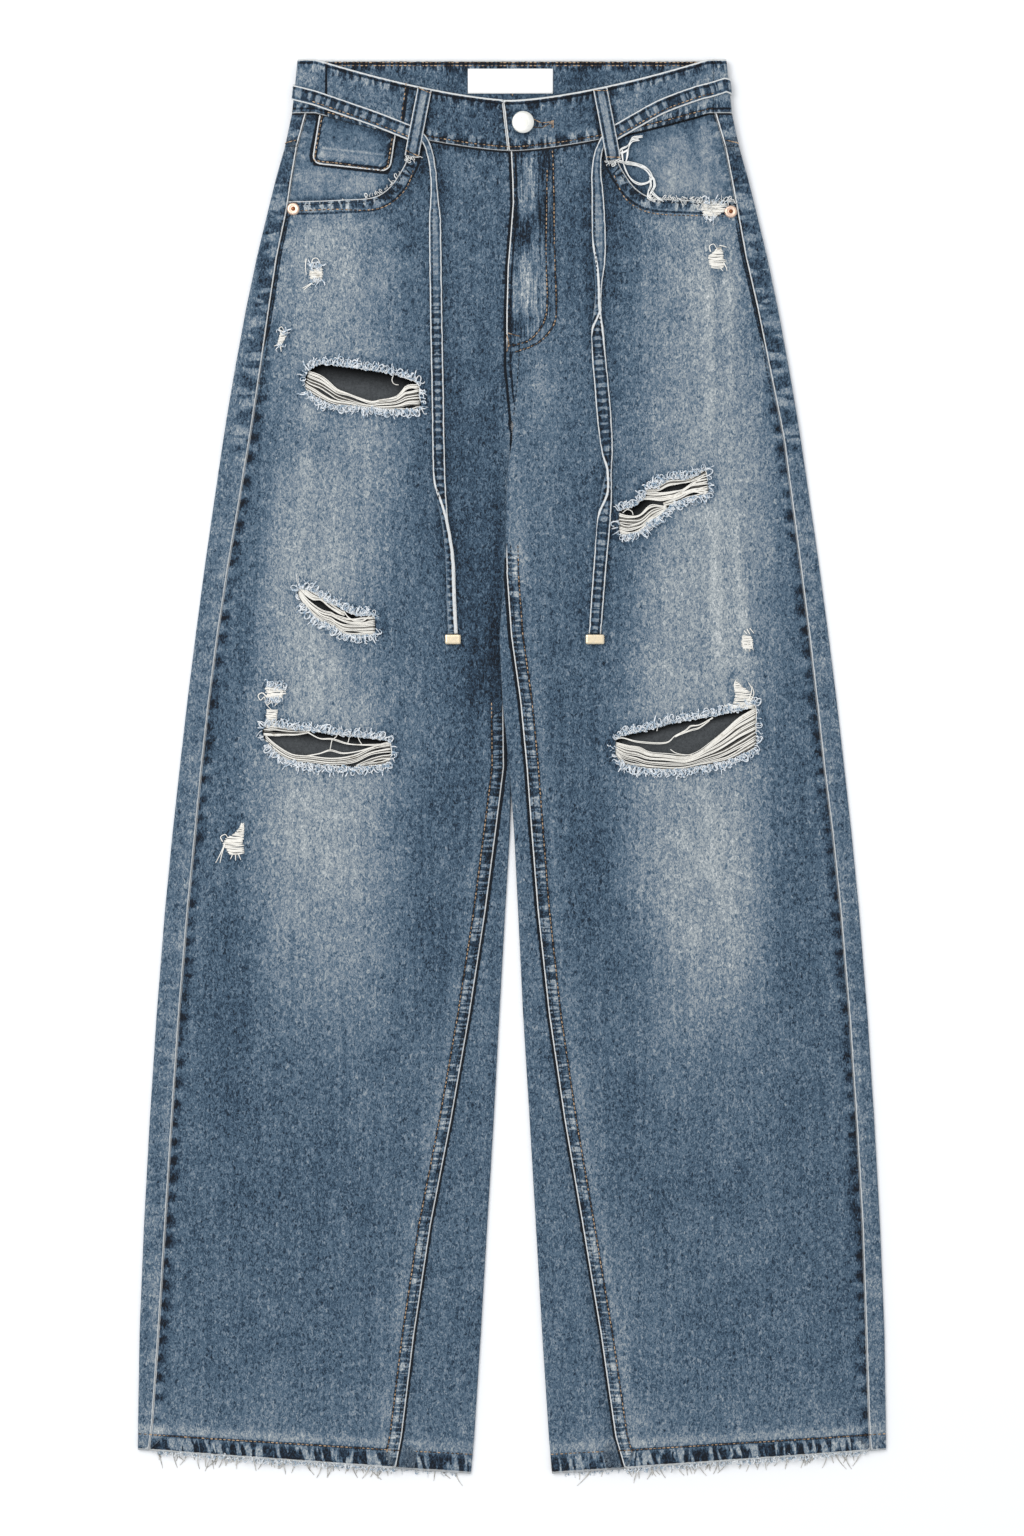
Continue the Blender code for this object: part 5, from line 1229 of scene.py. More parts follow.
def coinPocket(side):
    down, across = shares(44, 50)
    outer, inner = [between(*pocketLook[key], down) for key in ("coinOuter", "coinInner")]
    a = between(outer, inner, across)
    high, low = bandSeam(a) - garment["layerGap"], between(*pocketLook["coinLow"], across)
    y = between(high, low, down)
    fromLow, fromOuter, fromInner = (1 - down) * (high - low), outer - a, a - inner
    corner, towards = pocketLook["coinCorner"], np.where(fromOuter < fromInner, -1, 1)
    fromSide = np.minimum(fromOuter, fromInner)
    inX, inY = np.maximum(0, corner - fromSide), np.maximum(0, corner - fromLow)
    beyond, isCorner = np.hypot(inX, inY), (inX > 0) & (inY > 0)
    pull = np.where(isCorner, np.maximum(1, beyond / corner), 1)
    a = a + towards * (inX - inX / pull)  # rounds the lower corners
    y = y + (inY - inY / pull)
    edge = np.where(isCorner, corner - beyond / pull, np.minimum(fromSide, fromLow))
    z = topAt(side, a, y) + 0.35 * bell(fromLow - 5.5, 3) - 0.25 * smooth((2 - edge) / 2)
    # the folded edge inside shows as a paler band, with a rubbed line along its top
    ridge = smooth((fromOuter - 4) / 3) * smooth((fromInner - 4) / 3)
    wash = 0.41 + ridge * (0.1 * smooth((11.5 - fromLow) / 2) * smooth((fromLow - 2) / 2)
                           + 0.2 * bell(fromLow - 12.4, 0.9))
    wash = wash + 0.16 * np.exp(-((fromOuter - 5.5) / 3.2) ** 2 - ((fromLow - 8.5) / 4.2) ** 2)
    # painted shadow under the waistband; also darker along its edge and near its inner side
    wash = wearAndShade(wash, [(high - y, 0, 6, -0.12), (edge, 0, 3, -0.08), (a, 96, 8, -0.09)])
    values = {"wash": wash, "lineMm": edge - 0.1, "ropeReach": edge / 7, "ropeAlong": (a + y) / 6,
              "ropeGain": 0.6, "grooveMm": edge - 2.4}
    clothSheet("coinPocket", (-a, y, z), values, (wornDenim, insideCloth))


def backPocket(side):
    down, across = shares(34, 40)
    cx, cy = pocketLook["backCentre"]
    topIn, topOut, lowIn, lowOut, point = pocketLook["backCorners"]
    topY = between(topIn[1], topOut[1], across)
    lowY = np.interp(across, [0, 0.5, 1], [lowIn[1], point[1], lowOut[1]])
    left, right = between(topIn[0], lowIn[0], down), between(topOut[0], lowOut[0], down)
    a = cx + left + (right - left) * across
    y = cy + topY + (lowY - topY) * down
    fromTop, fromLow = down * (topY - lowY), (1 - down) * (topY - lowY)
    edge = least(fromTop, fromLow, a - cx - left, cx + right - a)
    values = {"wash": 0.4 + 0.09 * smooth(edge / 26) * smooth((a - cx + 60) / 80), "lineMm": edge + 0.5,
              "grooveMm": edge - 2, "ropeReach": np.minimum(edge / 8, fromTop / 15),
              "ropeAlong": (a + y) / 7, "ropeGain": 0.8}
    clothSheet("backPocket" + side["label"], (side["sign"] * a, y, 0), values, up=False)


loopLook = {"width": 11, "wall": 1.2, "backTop": 538, "backLength": 52,
            "front": {"right": ((-66.6, 517), (-76.5, 465.5)), "left": ((67.3, 517), (77.6, 462.5))},
            "back": {"right": -100, "centre": 0, "left": 100}}


def bandValues(toTop, toLow, toEnd, along, wash, lowGain=0.6):
    reach, place, gain = nearest([(toTop / 11, along / 6.5, 0.9), (toLow / 11, along / 6 + 5, 1),
                                  (toEnd / 6, toTop / 6, 0.5)], toTop.shape)
    top = np.minimum(toTop - 0.4, toEnd)
    return {"wash": wash, "lineMm": np.minimum(top, toLow + 0.2), "ropeReach": reach, "ropeAlong": place,
            "lineGain": np.where(top < toLow, 1, lowGain), "ropeGain": gain,
            "grooveMm": np.minimum(toTop - 2.9, toLow - 3.4)}


def frontBand(side):
    sign = side["sign"]
    last = (band["jointRight"] if sign < 0 else band["jointLeft"]) - garment["seamGap"] / 2
    down, across = shares(30, 96)
    ends = [sign * band[key] + garment["seamGap"] / 2 for key in ("endTop", "endSeam")]
    topA, lowA = [between(end, last, across) for end in ends]
    a, y = between(topA, lowA, down), between(bandTop(topA), bandSeam(lowA), down)
    height = bandTop(topA) - bandSeam(lowA)
    toTop, toLow, toEnd = down * height, (1 - down) * height, a - between(*ends, down)
    valley = bell(toTop - 4.6, 1.1) + bell(toLow - 4.2, 1.1)
    z = band["under"] + band["height"] - 0.55 * valley - 0.25 * smooth((1.5 - np.minimum(toTop, toLow)) / 1.5)
    lift, paler = creaseAt(sign * a, y, bandCreases)
    toLoop = distanceTo(sign * a, y, list(loopLook["front"][side["name"]]))[0]
    # painted shadow on the cloth beside the loop, and the tie lies along part of the seam
    wash = wearAndShade(0.36 + 0.065 * smooth((a - 60) / 60) + paler,
                  [(toLow, 7.5, 2.5, 0.06), (toLoop, 6.2, 2.2, -0.22)])
    beltEnd = smooth((a - 84) / 8) * smooth((152 - a) / 6)
    values = bandValues(toTop, toLow, toEnd, a, wash, 0.6 * (1 - beltEnd))
    if sign < 0:  # a piecing seam beside the right loop
        (seamX, seamY), (lowX, lowY) = (-79.6, 522), (-83.4, 492)
        values["darkMm"] = -a - seamX - (lowX - seamX) * (y - seamY) / (lowY - seamY)
    clothSheet("waistbandFront" + side["label"], (sign * a, y, z + lift), values,
               finish=(bandDenim,), wall=band["wall"])


def backBand():
    radius, high, gap = band["height"] / 2, band["under"] + band["height"], garment["seamGap"] / 2
    turn = np.linspace(0, math.pi, 11)[1:]
    rows = []
    for half, rise in ((band["topHalf"], bandTop), (band["seamHalf"], bandSeam)):
        tangent = half - radius
        right = np.linspace(band["jointRight"] + gap, tangent, 9)
        left = np.linspace(tangent, band["jointLeft"] + gap, 6)[1:]
        bend = tangent + radius * np.sin(turn)
        rows.append((np.concatenate([-right, -bend, np.linspace(-tangent, tangent, 80)[1:], bend, left]),
                     np.concatenate([rise(right), np.full(99, float(rise(half))), rise(left)]),
                     np.concatenate([np.full(9, high), band["under"] + radius * (1 + np.cos(turn)),
                                     np.full(79, band["under"]), band["under"] + radius * (1 - np.cos(turn)),
                                     np.full(5, high)])))
    down = np.linspace(0, 1, 20)[:, None]
    x, y, z = [between(top, low, down) for top, low in zip(*rows)]
    height = rows[0][1] - rows[1][1]
    along = runningTotal(np.hypot(np.diff(rows[0][0]), np.diff(rows[0][2])))
    wash = 0.33 + 0.09 * (z > band["under"] + 1)
    values = bandValues(down * height, (1 - down) * height, panelLook["far"], along, wash)
    values["darkMm"] = np.where(x < 0, along, 9)
    clothSheet("waistbandBack", (x, y, z), values, finish=(bandDenim,), wall=band["wall"])


# Soft folds of the waistband where the loops and the button pull at it
bandCreases = [
    ([(-50, 510), (-47, 490), (-44, 476)], 2.6, -0.3, -0.03),
    ([(-38, 508), (-36, 490), (-33, 474)], 3, 0.12, 0.03),
    ([(-118, 524), (-121, 506), (-124, 492)], 3, -0.3, -0.04),
    ([(46, 510), (48, 492), (50, 474)], 3, 0.12, 0.03),
    ([(100, 518), (103, 500), (105, 486)], 3.4, -0.25, -0.02),
    ([(24, 484), (34, 479), (44, 477)], 2.2, -0.25, -0.03),
]
tieRoute = {
    "right": [(-75.6, 482.6), (-92, 489.2), (-107, 495), (-130.8, 503.2), (-150, 509.8)],
    "left": [(76.6, 482.4), (94, 492.4), (114.5, 503.6), (140, 513.2), (152, 516.4)],
}
tieBelt = {"width": 11.2, "wall": 1.2, "sideRise": 3.5, "backHeight": 517, "gap": 0.3}


def tieAroundWaist():
    low = band["under"] - tieBelt["gap"] - tieBelt["wall"]
    high = band["under"] + band["height"] + tieBelt["gap"] + tieBelt["wall"]
    radius = (high - low) / 2
    slant = (band["seamHalf"] - band["topHalf"]) / (band["top"] - band["seam"])
    reach = band["seamHalf"] - band["height"] / 2 + slant * band["seam"]
    parts = {}
    for name, side in sides.items():
        sign = side["sign"]
        sideY = tieRoute[name][-1][1] + tieBelt["sideRise"]
        route = curveThrough(tieRoute[name] + [(sign * (reach - slant * sideY), sideY)], 6)
        part = []
        for k, (x, y) in enumerate(route):
            before, after = route[max(0, k - 1)], route[min(len(route) - 1, k + 1)]
            across = Vector((before[1] - after[1], after[0] - before[0])).normalized()
            if across.y < 0:
                across.negate()
            part.append((x, y, high, *across))
        final = Vector((-sign * slant, 1))
        for k in range(6):
            mixed = Vector(part[-1 - k][3:]).lerp(final, 1 - k / 6)
            part[-1 - k] = (*part[-1 - k][:3], *mixed)
        for k in range(1, 13):
            angle = math.pi / 2 - k * math.pi / 12
            y = sideY + (tieBelt["backHeight"] - sideY) * k / 12
            part.append((sign * (reach - slant * y + radius * math.cos(angle)), y,
                         low + radius * (1 + math.sin(angle)), *final))
        parts[name] = part
    start, stop = parts["right"][-1][0], parts["left"][-1][0]
    middle = [(x, tieBelt["backHeight"], low, 0, 1) for x in np.linspace(start, stop, 70)[2:-2]]
    stops = np.array(parts["right"] + middle + parts["left"][::-1])
    share = np.linspace(1, -1, 11)[:, None]
    half = tieBelt["width"] / 2
    toEdge = (1 - np.abs(share)) * half
    points = [stops[:, 0] + share * half * stops[:, 3], stops[:, 1] + share * half * stops[:, 4], stops[:, 2]]
    along = runningTotal(np.linalg.norm(np.diff(stops[:, :3], axis=0), axis=1))
    values = {"wash": 0.46, "lineMm": toEdge - 0.1, "ropeReach": 0.25 + np.abs(share - 0.1) * 0.75,
              "ropeAlong": along / 7.5, "ropeGain": 1, "grooveMm": toEdge - 2.4}
    clothSheet("tieBelt", points, values, finish=(ribbonDenim,), wall=tieBelt["wall"])


def beltLoop(name, x, y, z, toEnd, along, wash, up):
    toEdge = loopLook["width"] / 2 - np.abs((shares(*z.shape)[1] - 0.5) * loopLook["width"])
    if up:
        z = z + 0.4 * bell(toEdge - 1.6, 0.9) - 0.2 * smooth((0.8 - toEdge) / 0.8)
    values = {"wash": wash, "lineMm": np.minimum(toEdge + 0.15, toEnd + 0.6), "ropeReach": 0.55 + toEdge / 12,
              "ropeAlong": along / 4, "ropeGain": 0.35, "grooveMm": toEdge - 2.3}
    clothSheet("beltLoop" + name, (x, y, z), values, (wornDenim,), up=up, wall=loopLook["wall"])


def loopPlace(side, share, offset):  # a place on the front loop: how far down, and how far beside its middle
    (topX, topY), (lowX, lowY) = loopLook["front"][side["name"]]
    length = math.dist((topX, topY), (lowX, lowY))
    dx, dy = (lowX - topX) / length, (lowY - topY) / length
    return topX + (lowX - topX) * share - dy * offset, topY + (lowY - topY) * share + dx * offset


def frontLoop(side):
    top, (lowX, lowY) = loopLook["front"][side["name"]]
    onBand = band["under"] + band["height"] + 0.3 + loopLook["wall"]
    panel = float(topAt(side, side["sign"] * lowX, lowY)) + garment["layerGap"] + loopLook["wall"]
    down, across = shares(44, 11)
    level = np.interp(down, [0, 0.18, 0.4, 0.86, 0.95, 1], [0, 0, 1, 1, 2, 2])
    over = onBand + loopLook["wall"] + 0.3
    z = np.where(level <= 1, between(onBand, over, smooth(level)), between(over, panel, smooth(level - 1)))
    length = math.dist(top, (lowX, lowY))
    toEnd = np.minimum(down, 1 - down) * length
    # painted shade at the loop's ends
    beltLoop("Front" + side["label"], *loopPlace(side, down, (across - 0.5) * loopLook["width"]), z,
             toEnd, down * length, 0.56 - 0.16 * bell(toEnd, 3), True)


def backLoop(name, x0):
    ends = band["under"] - 0.3 - loopLook["wall"]
    down, across = shares(40, 9)
    z = np.interp(down, [0, 0.14, 0.26, 0.62, 0.86, 1], [ends, ends, 0, 0, ends, ends])
    x, y = x0 + (across - 0.5) * loopLook["width"], loopLook["backTop"] - loopLook["backLength"] * down
    toEnd = np.minimum(down, 1 - down) * loopLook["backLength"]
    beltLoop("Back" + name.title(), x, y, z, toEnd, y, 0.5, False)


labelLook = {"size": (65, 19), "centre": (-1.2, 523.6), "low": 5.3, "wall": 1}


def neckLabel():
    down, across = shares(14, 40)
    (w, h), (cx, cy) = labelLook["size"], labelLook["centre"]
    x, y = cx + (across - 0.5) * w, cy + (0.5 - down) * h
    toEdge = np.minimum(np.minimum(across, 1 - across) * w, np.minimum(down, 1 - down) * h)
    z = labelLook["low"] + labelLook["wall"] - 0.25 * smooth((0.8 - toEdge) / 0.8) + 0.12 * np.sin(x / 9)
    clothSheet("neckLabel", (x, y, z), {"lineMm": toEdge}, (labelCotton,),
               wall=labelLook["wall"])


def turned(name, profile, place, base, finish, steps=48):
    smoothed = curveThrough(profile, 4)
    ring = np.linspace(0, 2 * math.pi, steps, endpoint=False)
    verts, faces, centre = [], [], []
    for r, z in smoothed:
        for angle in ring:
            verts.append(((place[0] + max(r, 0.02) * math.cos(angle)) * mm,
                          (place[1] + max(r, 0.02) * math.sin(angle)) * mm, (base + z) * mm))
            centre.append(r)
    for k in range(len(smoothed) - 1):
        for n in range(steps):
            m = (n + 1) % steps
            faces.append((k * steps + n, (k + 1) * steps + n, (k + 1) * steps + m, k * steps + m))
    faces.append(tuple(range(steps)))
    faces.append(tuple(len(verts) - 1 - n for n in range(steps)))
    mesh = bpy.data.meshes.new(name)
    mesh.from_pydata(verts, [], faces)
    attribute = mesh.attributes.new("centreMm", "FLOAT", "POINT")
    attribute.data.foreach_set("value", centre)
    mesh.materials.append(finish)
    mesh.shade_smooth()
    return placed(name, mesh)


buttonProfile = [(0, 4.5), (3.6, 4.47), (5.6, 4.36), (7, 4.15), (8, 3.75), (8.5, 3.1),
                 (8.1, 2.5), (7, 2), (3.2, 1.6), (3.2, 0), (0, 0)]
rivetProfile = [(0, 1.9), (0.8, 1.85), (1.3, 1.5), (1.6, 1), (2.4, 1), (3.4, 1.1), (4.2, 0.85), (4.6, 0.3),
                (4.5, 0), (0, 0)]

for side in sides.values():
    pocketFacing(side)
    backPocket(side)
    frontBand(side)
    frontLoop(side)
    x, y = (-167, 426) if side["sign"] < 0 else (167, 424)
    base = max(float(topAt(side, abs(x) + d, y)) for d in (-4.6, 0, 4.6)) + garment["layerGap"]
    rivet = turned("pocketRivet" + side["label"], rivetProfile, (x, y), base, roseBrass)
    finishPiece(rivet)
coinPocket(sides["right"])
backBand()
tieAroundWaist()
for name, x0 in loopLook["back"].items():
    backLoop(name, x0)
neckLabel()
finishPiece(turned("waistButton", buttonProfile, (8.4, 491.3), 9.3, silver))
print("jeans: pockets, waistband, loops and trims made")


# Threads: finishes and node trees

# Cotton and polyester threads: matt, a little paler where the light rubs them
def threadMaterial(name, dark, pale, scale, share=(0.35, 0.65)):
    material, node = newMaterial(name)
    place = node("TexCoord", out=3)
    mix = node("TexNoise", {"Vector": place, "Scale": scale, "Detail": 2, "Roughness": 0.6})
    tint = node("Mix", {0: node("MapRange", [mix, *share], **soft), 6: dark, 7: pale}, **rgba)
    # painted shade: threads that lie deeper between the others are darker
    shade = node("Attribute", out=2, attribute_name="shade")
    tint = node("Mix", {0: shade, 6: tint, 7: "#3a3630"}, **rgba)
    endMaterial(node, tint, mix, 0.4, 0.2, {"Roughness": 0.8, "Specular IOR Level": 0.2})
    return material


tanThread = threadMaterial("tanStitching", "#3f332a", "#bfa283", 230, share=(0.4, 0.6))
darkThread = threadMaterial("navyStitching", "#0d131b", "#2a3644", 200)
creamThread = threadMaterial("bareWeft", "#c4bcae", "#f5f1e8", 190, share=(0.15, 0.45))
pocketThread = threadMaterial("pocketYarn", "#c9cac7", "#f4f3ef", 240, share=(0.25, 0.6))
fringeThread = threadMaterial("frayedEnds", "#94abbe", "#f3f5f6", 420, share=(0.34, 0.58))
hemThread = threadMaterial("hemEnds", "#9d9b96", "#d2cfc8", 300, share=(0.3, 0.6))


def socketOf(tree, name):
    return next(item.identifier for item in tree.interface.items_tree if item.name == name)


def newNodeTree(name, inputs):
    tree = bpy.data.node_groups.new(name, "GeometryNodeTree")
    tree.interface.new_socket("Geometry", in_out="INPUT", socket_type="NodeSocketGeometry")
    for label, kind in inputs.items():
        tree.interface.new_socket(label, in_out="INPUT", socket_type="NodeSocket" + kind)
    tree.interface.new_socket("Geometry", in_out="OUTPUT", socket_type="NodeSocketGeometry")
    start = tree.nodes.new("NodeGroupInput")
    return tree, {item.name: item for item in start.outputs if item.name}


def endTree(tree, instances, material):
    real = add(tree, "GeometryNodeRealizeInstances", [instances])
    painted = add(tree, "GeometryNodeSetMaterial", {"Geometry": real, "Material": material})
    done = tree.nodes.new("NodeGroupOutput")
    tree.links.new(painted, done.inputs[0])


# A row of stitches along a line: short flattened lozenges, evenly spaced, slightly uneven in size
stitchTree, given = newNodeTree("stitchRow", {"Pitch": "Float", "Length": "Float", "Width": "Float",
                                              "Thread": "Material", "Seed": "Int"})
node = partial(add, stitchTree)
line = node("GeometryNodeMeshToCurve", [given["Geometry"]])
even = node("GeometryNodeResampleCurve", {"Curve": line, "Length": given["Pitch"]}, mode="LENGTH")
lozenge = node("GeometryNodeMeshUVSphere", {"Segments": 5, "Rings": 4, "Radius": 0.5})
size = node("CombineXYZ", [given["Width"], given["Width"], given["Length"]])
turn = node("FunctionNodeAlignRotationToVector", {"Vector": node("GeometryNodeInputTangent")}, axis="Z")
uneven = node("FunctionNodeRandomValue", {"Min": (0.85, 0.85, 0.78), "Max": (1.1, 1.1, 1.12),
                                          "Seed": given["Seed"]}, data_type="FLOAT_VECTOR")
size = node("VectorMath", [size, uneven], operation="MULTIPLY")
row = node("GeometryNodeInstanceOnPoints", {
    "Points": even, "Instance": lozenge, "Rotation": turn, "Scale": size})
endTree(stitchTree, row, given["Thread"])

# Frayed yarn ends along a raw edge: curled snippets, picked and turned at random, pointing out
curlTree, given = newNodeTree("frayedEdge", {"Curls": "Collection", "Swing": "Float", "Least": "Float",
                                             "Most": "Float", "Thread": "Material", "Seed": "Int"})
node = partial(add, curlTree)
shapes = node("GeometryNodeCollectionInfo", {"Collection": given["Curls"], "Separate Children": True,
                                             "Reset Children": True})
outward = node("GeometryNodeInputNamedAttribute", {"Name": "outward"}, data_type="FLOAT_VECTOR")
turn = node("FunctionNodeAlignRotationToVector", {"Vector": outward}, axis="X")
swing = node("Math", [given["Swing"], -1], operation="MULTIPLY")
low = node("CombineXYZ", [-0.7, -0.15, swing])
high = node("CombineXYZ", [0.7, 0.35, given["Swing"]])
tilt = node("FunctionNodeRandomValue", {"Min": low, "Max": high, "Seed": given["Seed"]},
            data_type="FLOAT_VECTOR")
tilt = node("FunctionNodeEulerToRotation", [tilt])
turn = node("FunctionNodeRotateRotation", [turn, tilt], rotation_space="LOCAL")
reach = node("FunctionNodeRandomValue", {2: given["Least"], 3: given["Most"], "Seed": given["Seed"]}, 1)
ends = node("GeometryNodeInstanceOnPoints", {
    "Points": given["Geometry"], "Instance": shapes, "Pick Instance": True, "Rotation": turn, "Scale": reach})
endTree(curlTree, ends, given["Thread"])


def applied(thing, tree, thread, **values):  # the node tree's result as a plain mesh
    modifier = thing.modifiers.new("nodes", "NODES")
    modifier.node_group = tree
    for name, value in {"Thread": thread, **values}.items():
        modifier[socketOf(tree, name)] = value
    bpy.context.view_layer.update()
    graph = bpy.context.evaluated_depsgraph_get()
    mesh = bpy.data.meshes.new_from_object(thing.evaluated_get(graph))
    thing.modifiers.remove(modifier)
    mesh.shade_smooth()
    name = thing.name
    bpy.data.objects.remove(thing)
    mesh.name = name
    mesh.materials.clear()
    mesh.materials.append(thread)
    return placed(name, mesh)


def lineMesh(name, lines):
    verts, edges = [], []
    for line in lines:
        first = len(verts)
        verts += [tuple(v * mm for v in p) for p in line]
        edges += [(first + k, first + k + 1) for k in range(len(line) - 1)]
    mesh = bpy.data.meshes.new(name)
    mesh.from_pydata(verts, edges, [])
    return placed(name, mesh)


def tubeMesh(name, tubes, finish, corners=3):  # thin threads in one mesh: points, radius and any shade
    verts, faces, shades = [], [], []
    ring = np.linspace(0, 2 * math.pi, corners, endpoint=False)
    for points, radius, *shade in tubes:
        line = np.array(points, dtype=float)
        shades += [shade[0] if shade else 0] * (len(line) * corners)
        along = np.gradient(line, axis=0)
        along /= np.maximum(np.linalg.norm(along, axis=1), 1e-9)[:, None]
        side = np.cross(along, np.array([0.0, 0.0, 1.0]))
        flat = np.linalg.norm(side, axis=1) < 0.05
        side[flat] = np.cross(along[flat], np.array([1.0, 0.0, 0.0]))
        side /= np.linalg.norm(side, axis=1)[:, None]
        rise = np.cross(side, along)
        thick = np.broadcast_to(np.asarray(radius, dtype=float), len(line))[:, None, None]
        circle = side[:, None] * np.cos(ring)[:, None] + rise[:, None] * np.sin(ring)[:, None]
        first = len(verts)
        verts += ((line[:, None, :] + circle * thick).reshape(-1, 3) * mm).tolist()
        for k in range(len(line) - 1):
            for n in range(corners):
                m = (n + 1) % corners
                a = first + k * corners
                faces.append((a + n, a + m, a + corners + m, a + corners + n))
        last = first + (len(line) - 1) * corners
        faces.append(tuple(first + n for n in range(corners))[::-1])
        faces.append(tuple(last + n for n in range(corners)))
    mesh = bpy.data.meshes.new(name)
    mesh.from_pydata(verts, [], faces)
    mesh.attributes.new("shade", "FLOAT", "POINT").data.foreach_set("value", shades)
    mesh.materials.append(finish)
    mesh.shade_smooth()
    return placed(name, mesh)


def treeOver(thing):
    mesh = thing.data
    return BVHTree.FromPolygons([v.co for v in mesh.vertices], [tuple(p.vertices) for p in mesh.polygons])


def settle(points, trees, lift, fromAbove=True):  # lays (x, y) points on the uppermost sheet below them
    laid = []
    for x, y in points:
        best = None
        for tree in trees:
            start = Vector((x, y, 40 if fromAbove else -40)) * mm
            hit, _, _, _ = tree.ray_cast(start, Vector((0, 0, -1 if fromAbove else 1)))
            if hit is not None and (best is None or (hit.z > best) == fromAbove):
                best = hit.z
        if best is not None:
            laid.append((x, y, best / mm + (lift if fromAbove else -lift)))
    return laid


def evenly(points, step):  # a line's points at even distances
    line = np.array(points, dtype=float)
    done = runningTotal(np.linalg.norm(np.diff(line, axis=0), axis=1))
    count = max(2, int(round(done[-1] / step)) + 1)
    even = np.linspace(0, done[-1], count)
    return np.stack([np.interp(even, done, line[:, k]) for k in range(line.shape[1])], axis=-1)


def beside(points, distance):  # the line moved sideways, to its left for a positive distance
    line = np.array(points, dtype=float)[:, :2]
    along = np.gradient(line, axis=0)
    along /= np.maximum(np.linalg.norm(along, axis=1), 1e-9)[:, None]
    return line + np.stack([-along[:, 1], along[:, 0]], axis=-1) * distance


# Stitching

stitchLook = {"pitch": 3.3, "length": 2.7, "width": 1, "lift": 0.05, "tackStep": 0.9}
trees = {name: treeOver(piece) for name, piece in pieces.items()
         if not name.startswith(("tieTip", "pocketRivet"))}


def panelLine(side, distance, top, low, fromOuter=False):  # beside an edge of the front
    points = []
    for h in np.arange(top, low, -6):
        a, y, _, along = frontRow(side, h, 60)
        place = along[-1] - distance if fromOuter else distance
        points.append((side["sign"] * float(np.interp(place, along, a)), float(np.interp(place, along, y))))
    return points


def backLine(side, h, part=slice(18, -13)):
    a, y, _, _ = backRow(side, h, 60)
    return [(side["sign"] * p, q) for p, q in zip(a[part], y[part])]


def hemLine(side, rise, onFront):
    if not onFront:
        return backLine(side, garment["hem"] + rise)[1:-1]
    a, y, _, _ = frontRow(side, garment["hem"] + rise, 60)
    return [(side["sign"] * p, q) for p, q in zip(a[1:-1], y[1:-1])]


def bandLine(side, distance, fromTop):
    sign = side["sign"]
    joint = band["jointRight"] if sign < 0 else band["jointLeft"]
    share = np.linspace(0.01, 0.99, 60)
    first, last = [sign * band[key] + 0.15 + (joint - 0.3 - sign * band[key]) * share
                   for key in ("endTop", "endSeam")]
    top, low = bandTop(first), bandSeam(last)
    down = distance / (top - low) if fromTop else 1 - distance / (top - low)
    return list(zip(sign * between(first, last, down), between(top, low, down)))


def loopLine(side, offset, start, stop):
    return [loopPlace(side, share, offset) for share in np.linspace(start, stop, 16)]


def bartack(start, stop):  # a dense zigzag between two points, as a row of short cross stitches
    (x0, y0), (x1, y1) = start, stop
    nx, ny = (y0 - y1), (x1 - x0)
    size = math.hypot(nx, ny)
    nx, ny = [v / size * stitchLook["tackStep"] for v in (nx, ny)]
    count = max(3, int(size / stitchLook["tackStep"]))
    return [(x0 + (x1 - x0) * k / count + nx * (-1) ** k, y0 + (y1 - y0) * k / count + ny * (-1) ** k)
            for k in range(count + 1)]


scoopStitch = {
    "right": [(-75.7, 454), (-81.5, 440.3), (-95.6, 428.4), (-111.7, 425), (-136.2, 425.6), (-160.4, 424.6)],
    "left": [(78.3, 450.3), (86, 434.5), (98.7, 425.3), (117.8, 421.5), (160.8, 420.6)],
}
coinLine = [(-144.9, 496), (-150.2, 467), (-149, 462.6), (-127.8, 460), (-98.2, 454.6), (-95.2, 457.2),
            (-91.6, 478.4)]
stitchRows = {"tan": [], "navy": []}  # (points, sheets it may lie on, seen from above)


def stitch(thread, points, *sheets, above=True):
    stitchRows[thread].append((points, sheets, above))


for name, side in sides.items():
    label, sign = name.title(), side["sign"]
    front, strip, loop = "frontPanel" + label, "backPanel" + label, "beltLoopFront" + label
    waist, pocket = "waistbandFront" + label, "backPocket" + label
    low = garment["hem"] + panelLook["hemBand"]
    stitch("tan", panelLine(side, 9, seamStart[name] - 4, -512), front)
    stitch("navy", panelLine(side, 3.4, seamStart[name] - 4, -512), front)
    stitch("navy", panelLine(side, 2.3, 414, 262, fromOuter=True), front)
    stitch("tan", hemLine(side, panelLook["hemBand"], True), front)
    for part in (slice(0, 8), slice(-5, None)):
        stitch("tan", backLine(side, low, part), strip)
    stitch("tan", curveThrough(scoopStitch[name], 10), front)
    stitch("navy", [(sign * a, y) for a, y in beside(curveThrough(scoopLine, 8), -2.6)], front)
    stitch("tan", bandLine(side, 3.2, False), waist)
    stitch("navy", bandLine(side, 2.4, True), waist)
    for offset in (-3.6, 3.6):
        stitch("navy", loopLine(side, offset, 0.04, 0.96), loop)
    for share in (0.025, 0.955):
        stitch("tan", bartack(*[loopPlace(side, share, offset) for offset in (-4.2, 4.2)]), loop)
    # the back: yoke, hem, pocket, band
    for rise in (3, 9):
        stitch("tan", backLine(side, garment["yokeSeam"] + rise), "backYoke" + label, above=False)
    stitch("tan", hemLine(side, panelLook["hemBand"], False), strip, above=False)
    cx, cy = pocketLook["backCentre"]
    topIn, topOut, lowIn, lowOut, point = pocketLook["backCorners"]
    for inset in (2, 8):
        scale = 1 - inset / 70
        corners = [topIn, lowIn, point, lowOut, topOut]
        outline = [(sign * (cx + p * scale), cy + q * scale) for p, q in corners]
        stitch("tan", evenly(outline, 3), pocket, above=False)
    stitch("tan", [(sign * (cx + p * 0.96), cy + q - 12) for p, q in (topIn, topOut)], pocket, above=False)
    for offset in (3, 9):
        stitch("tan", [(sign * offset, y) for y in np.arange(440, 272, -6)], strip, above=False)
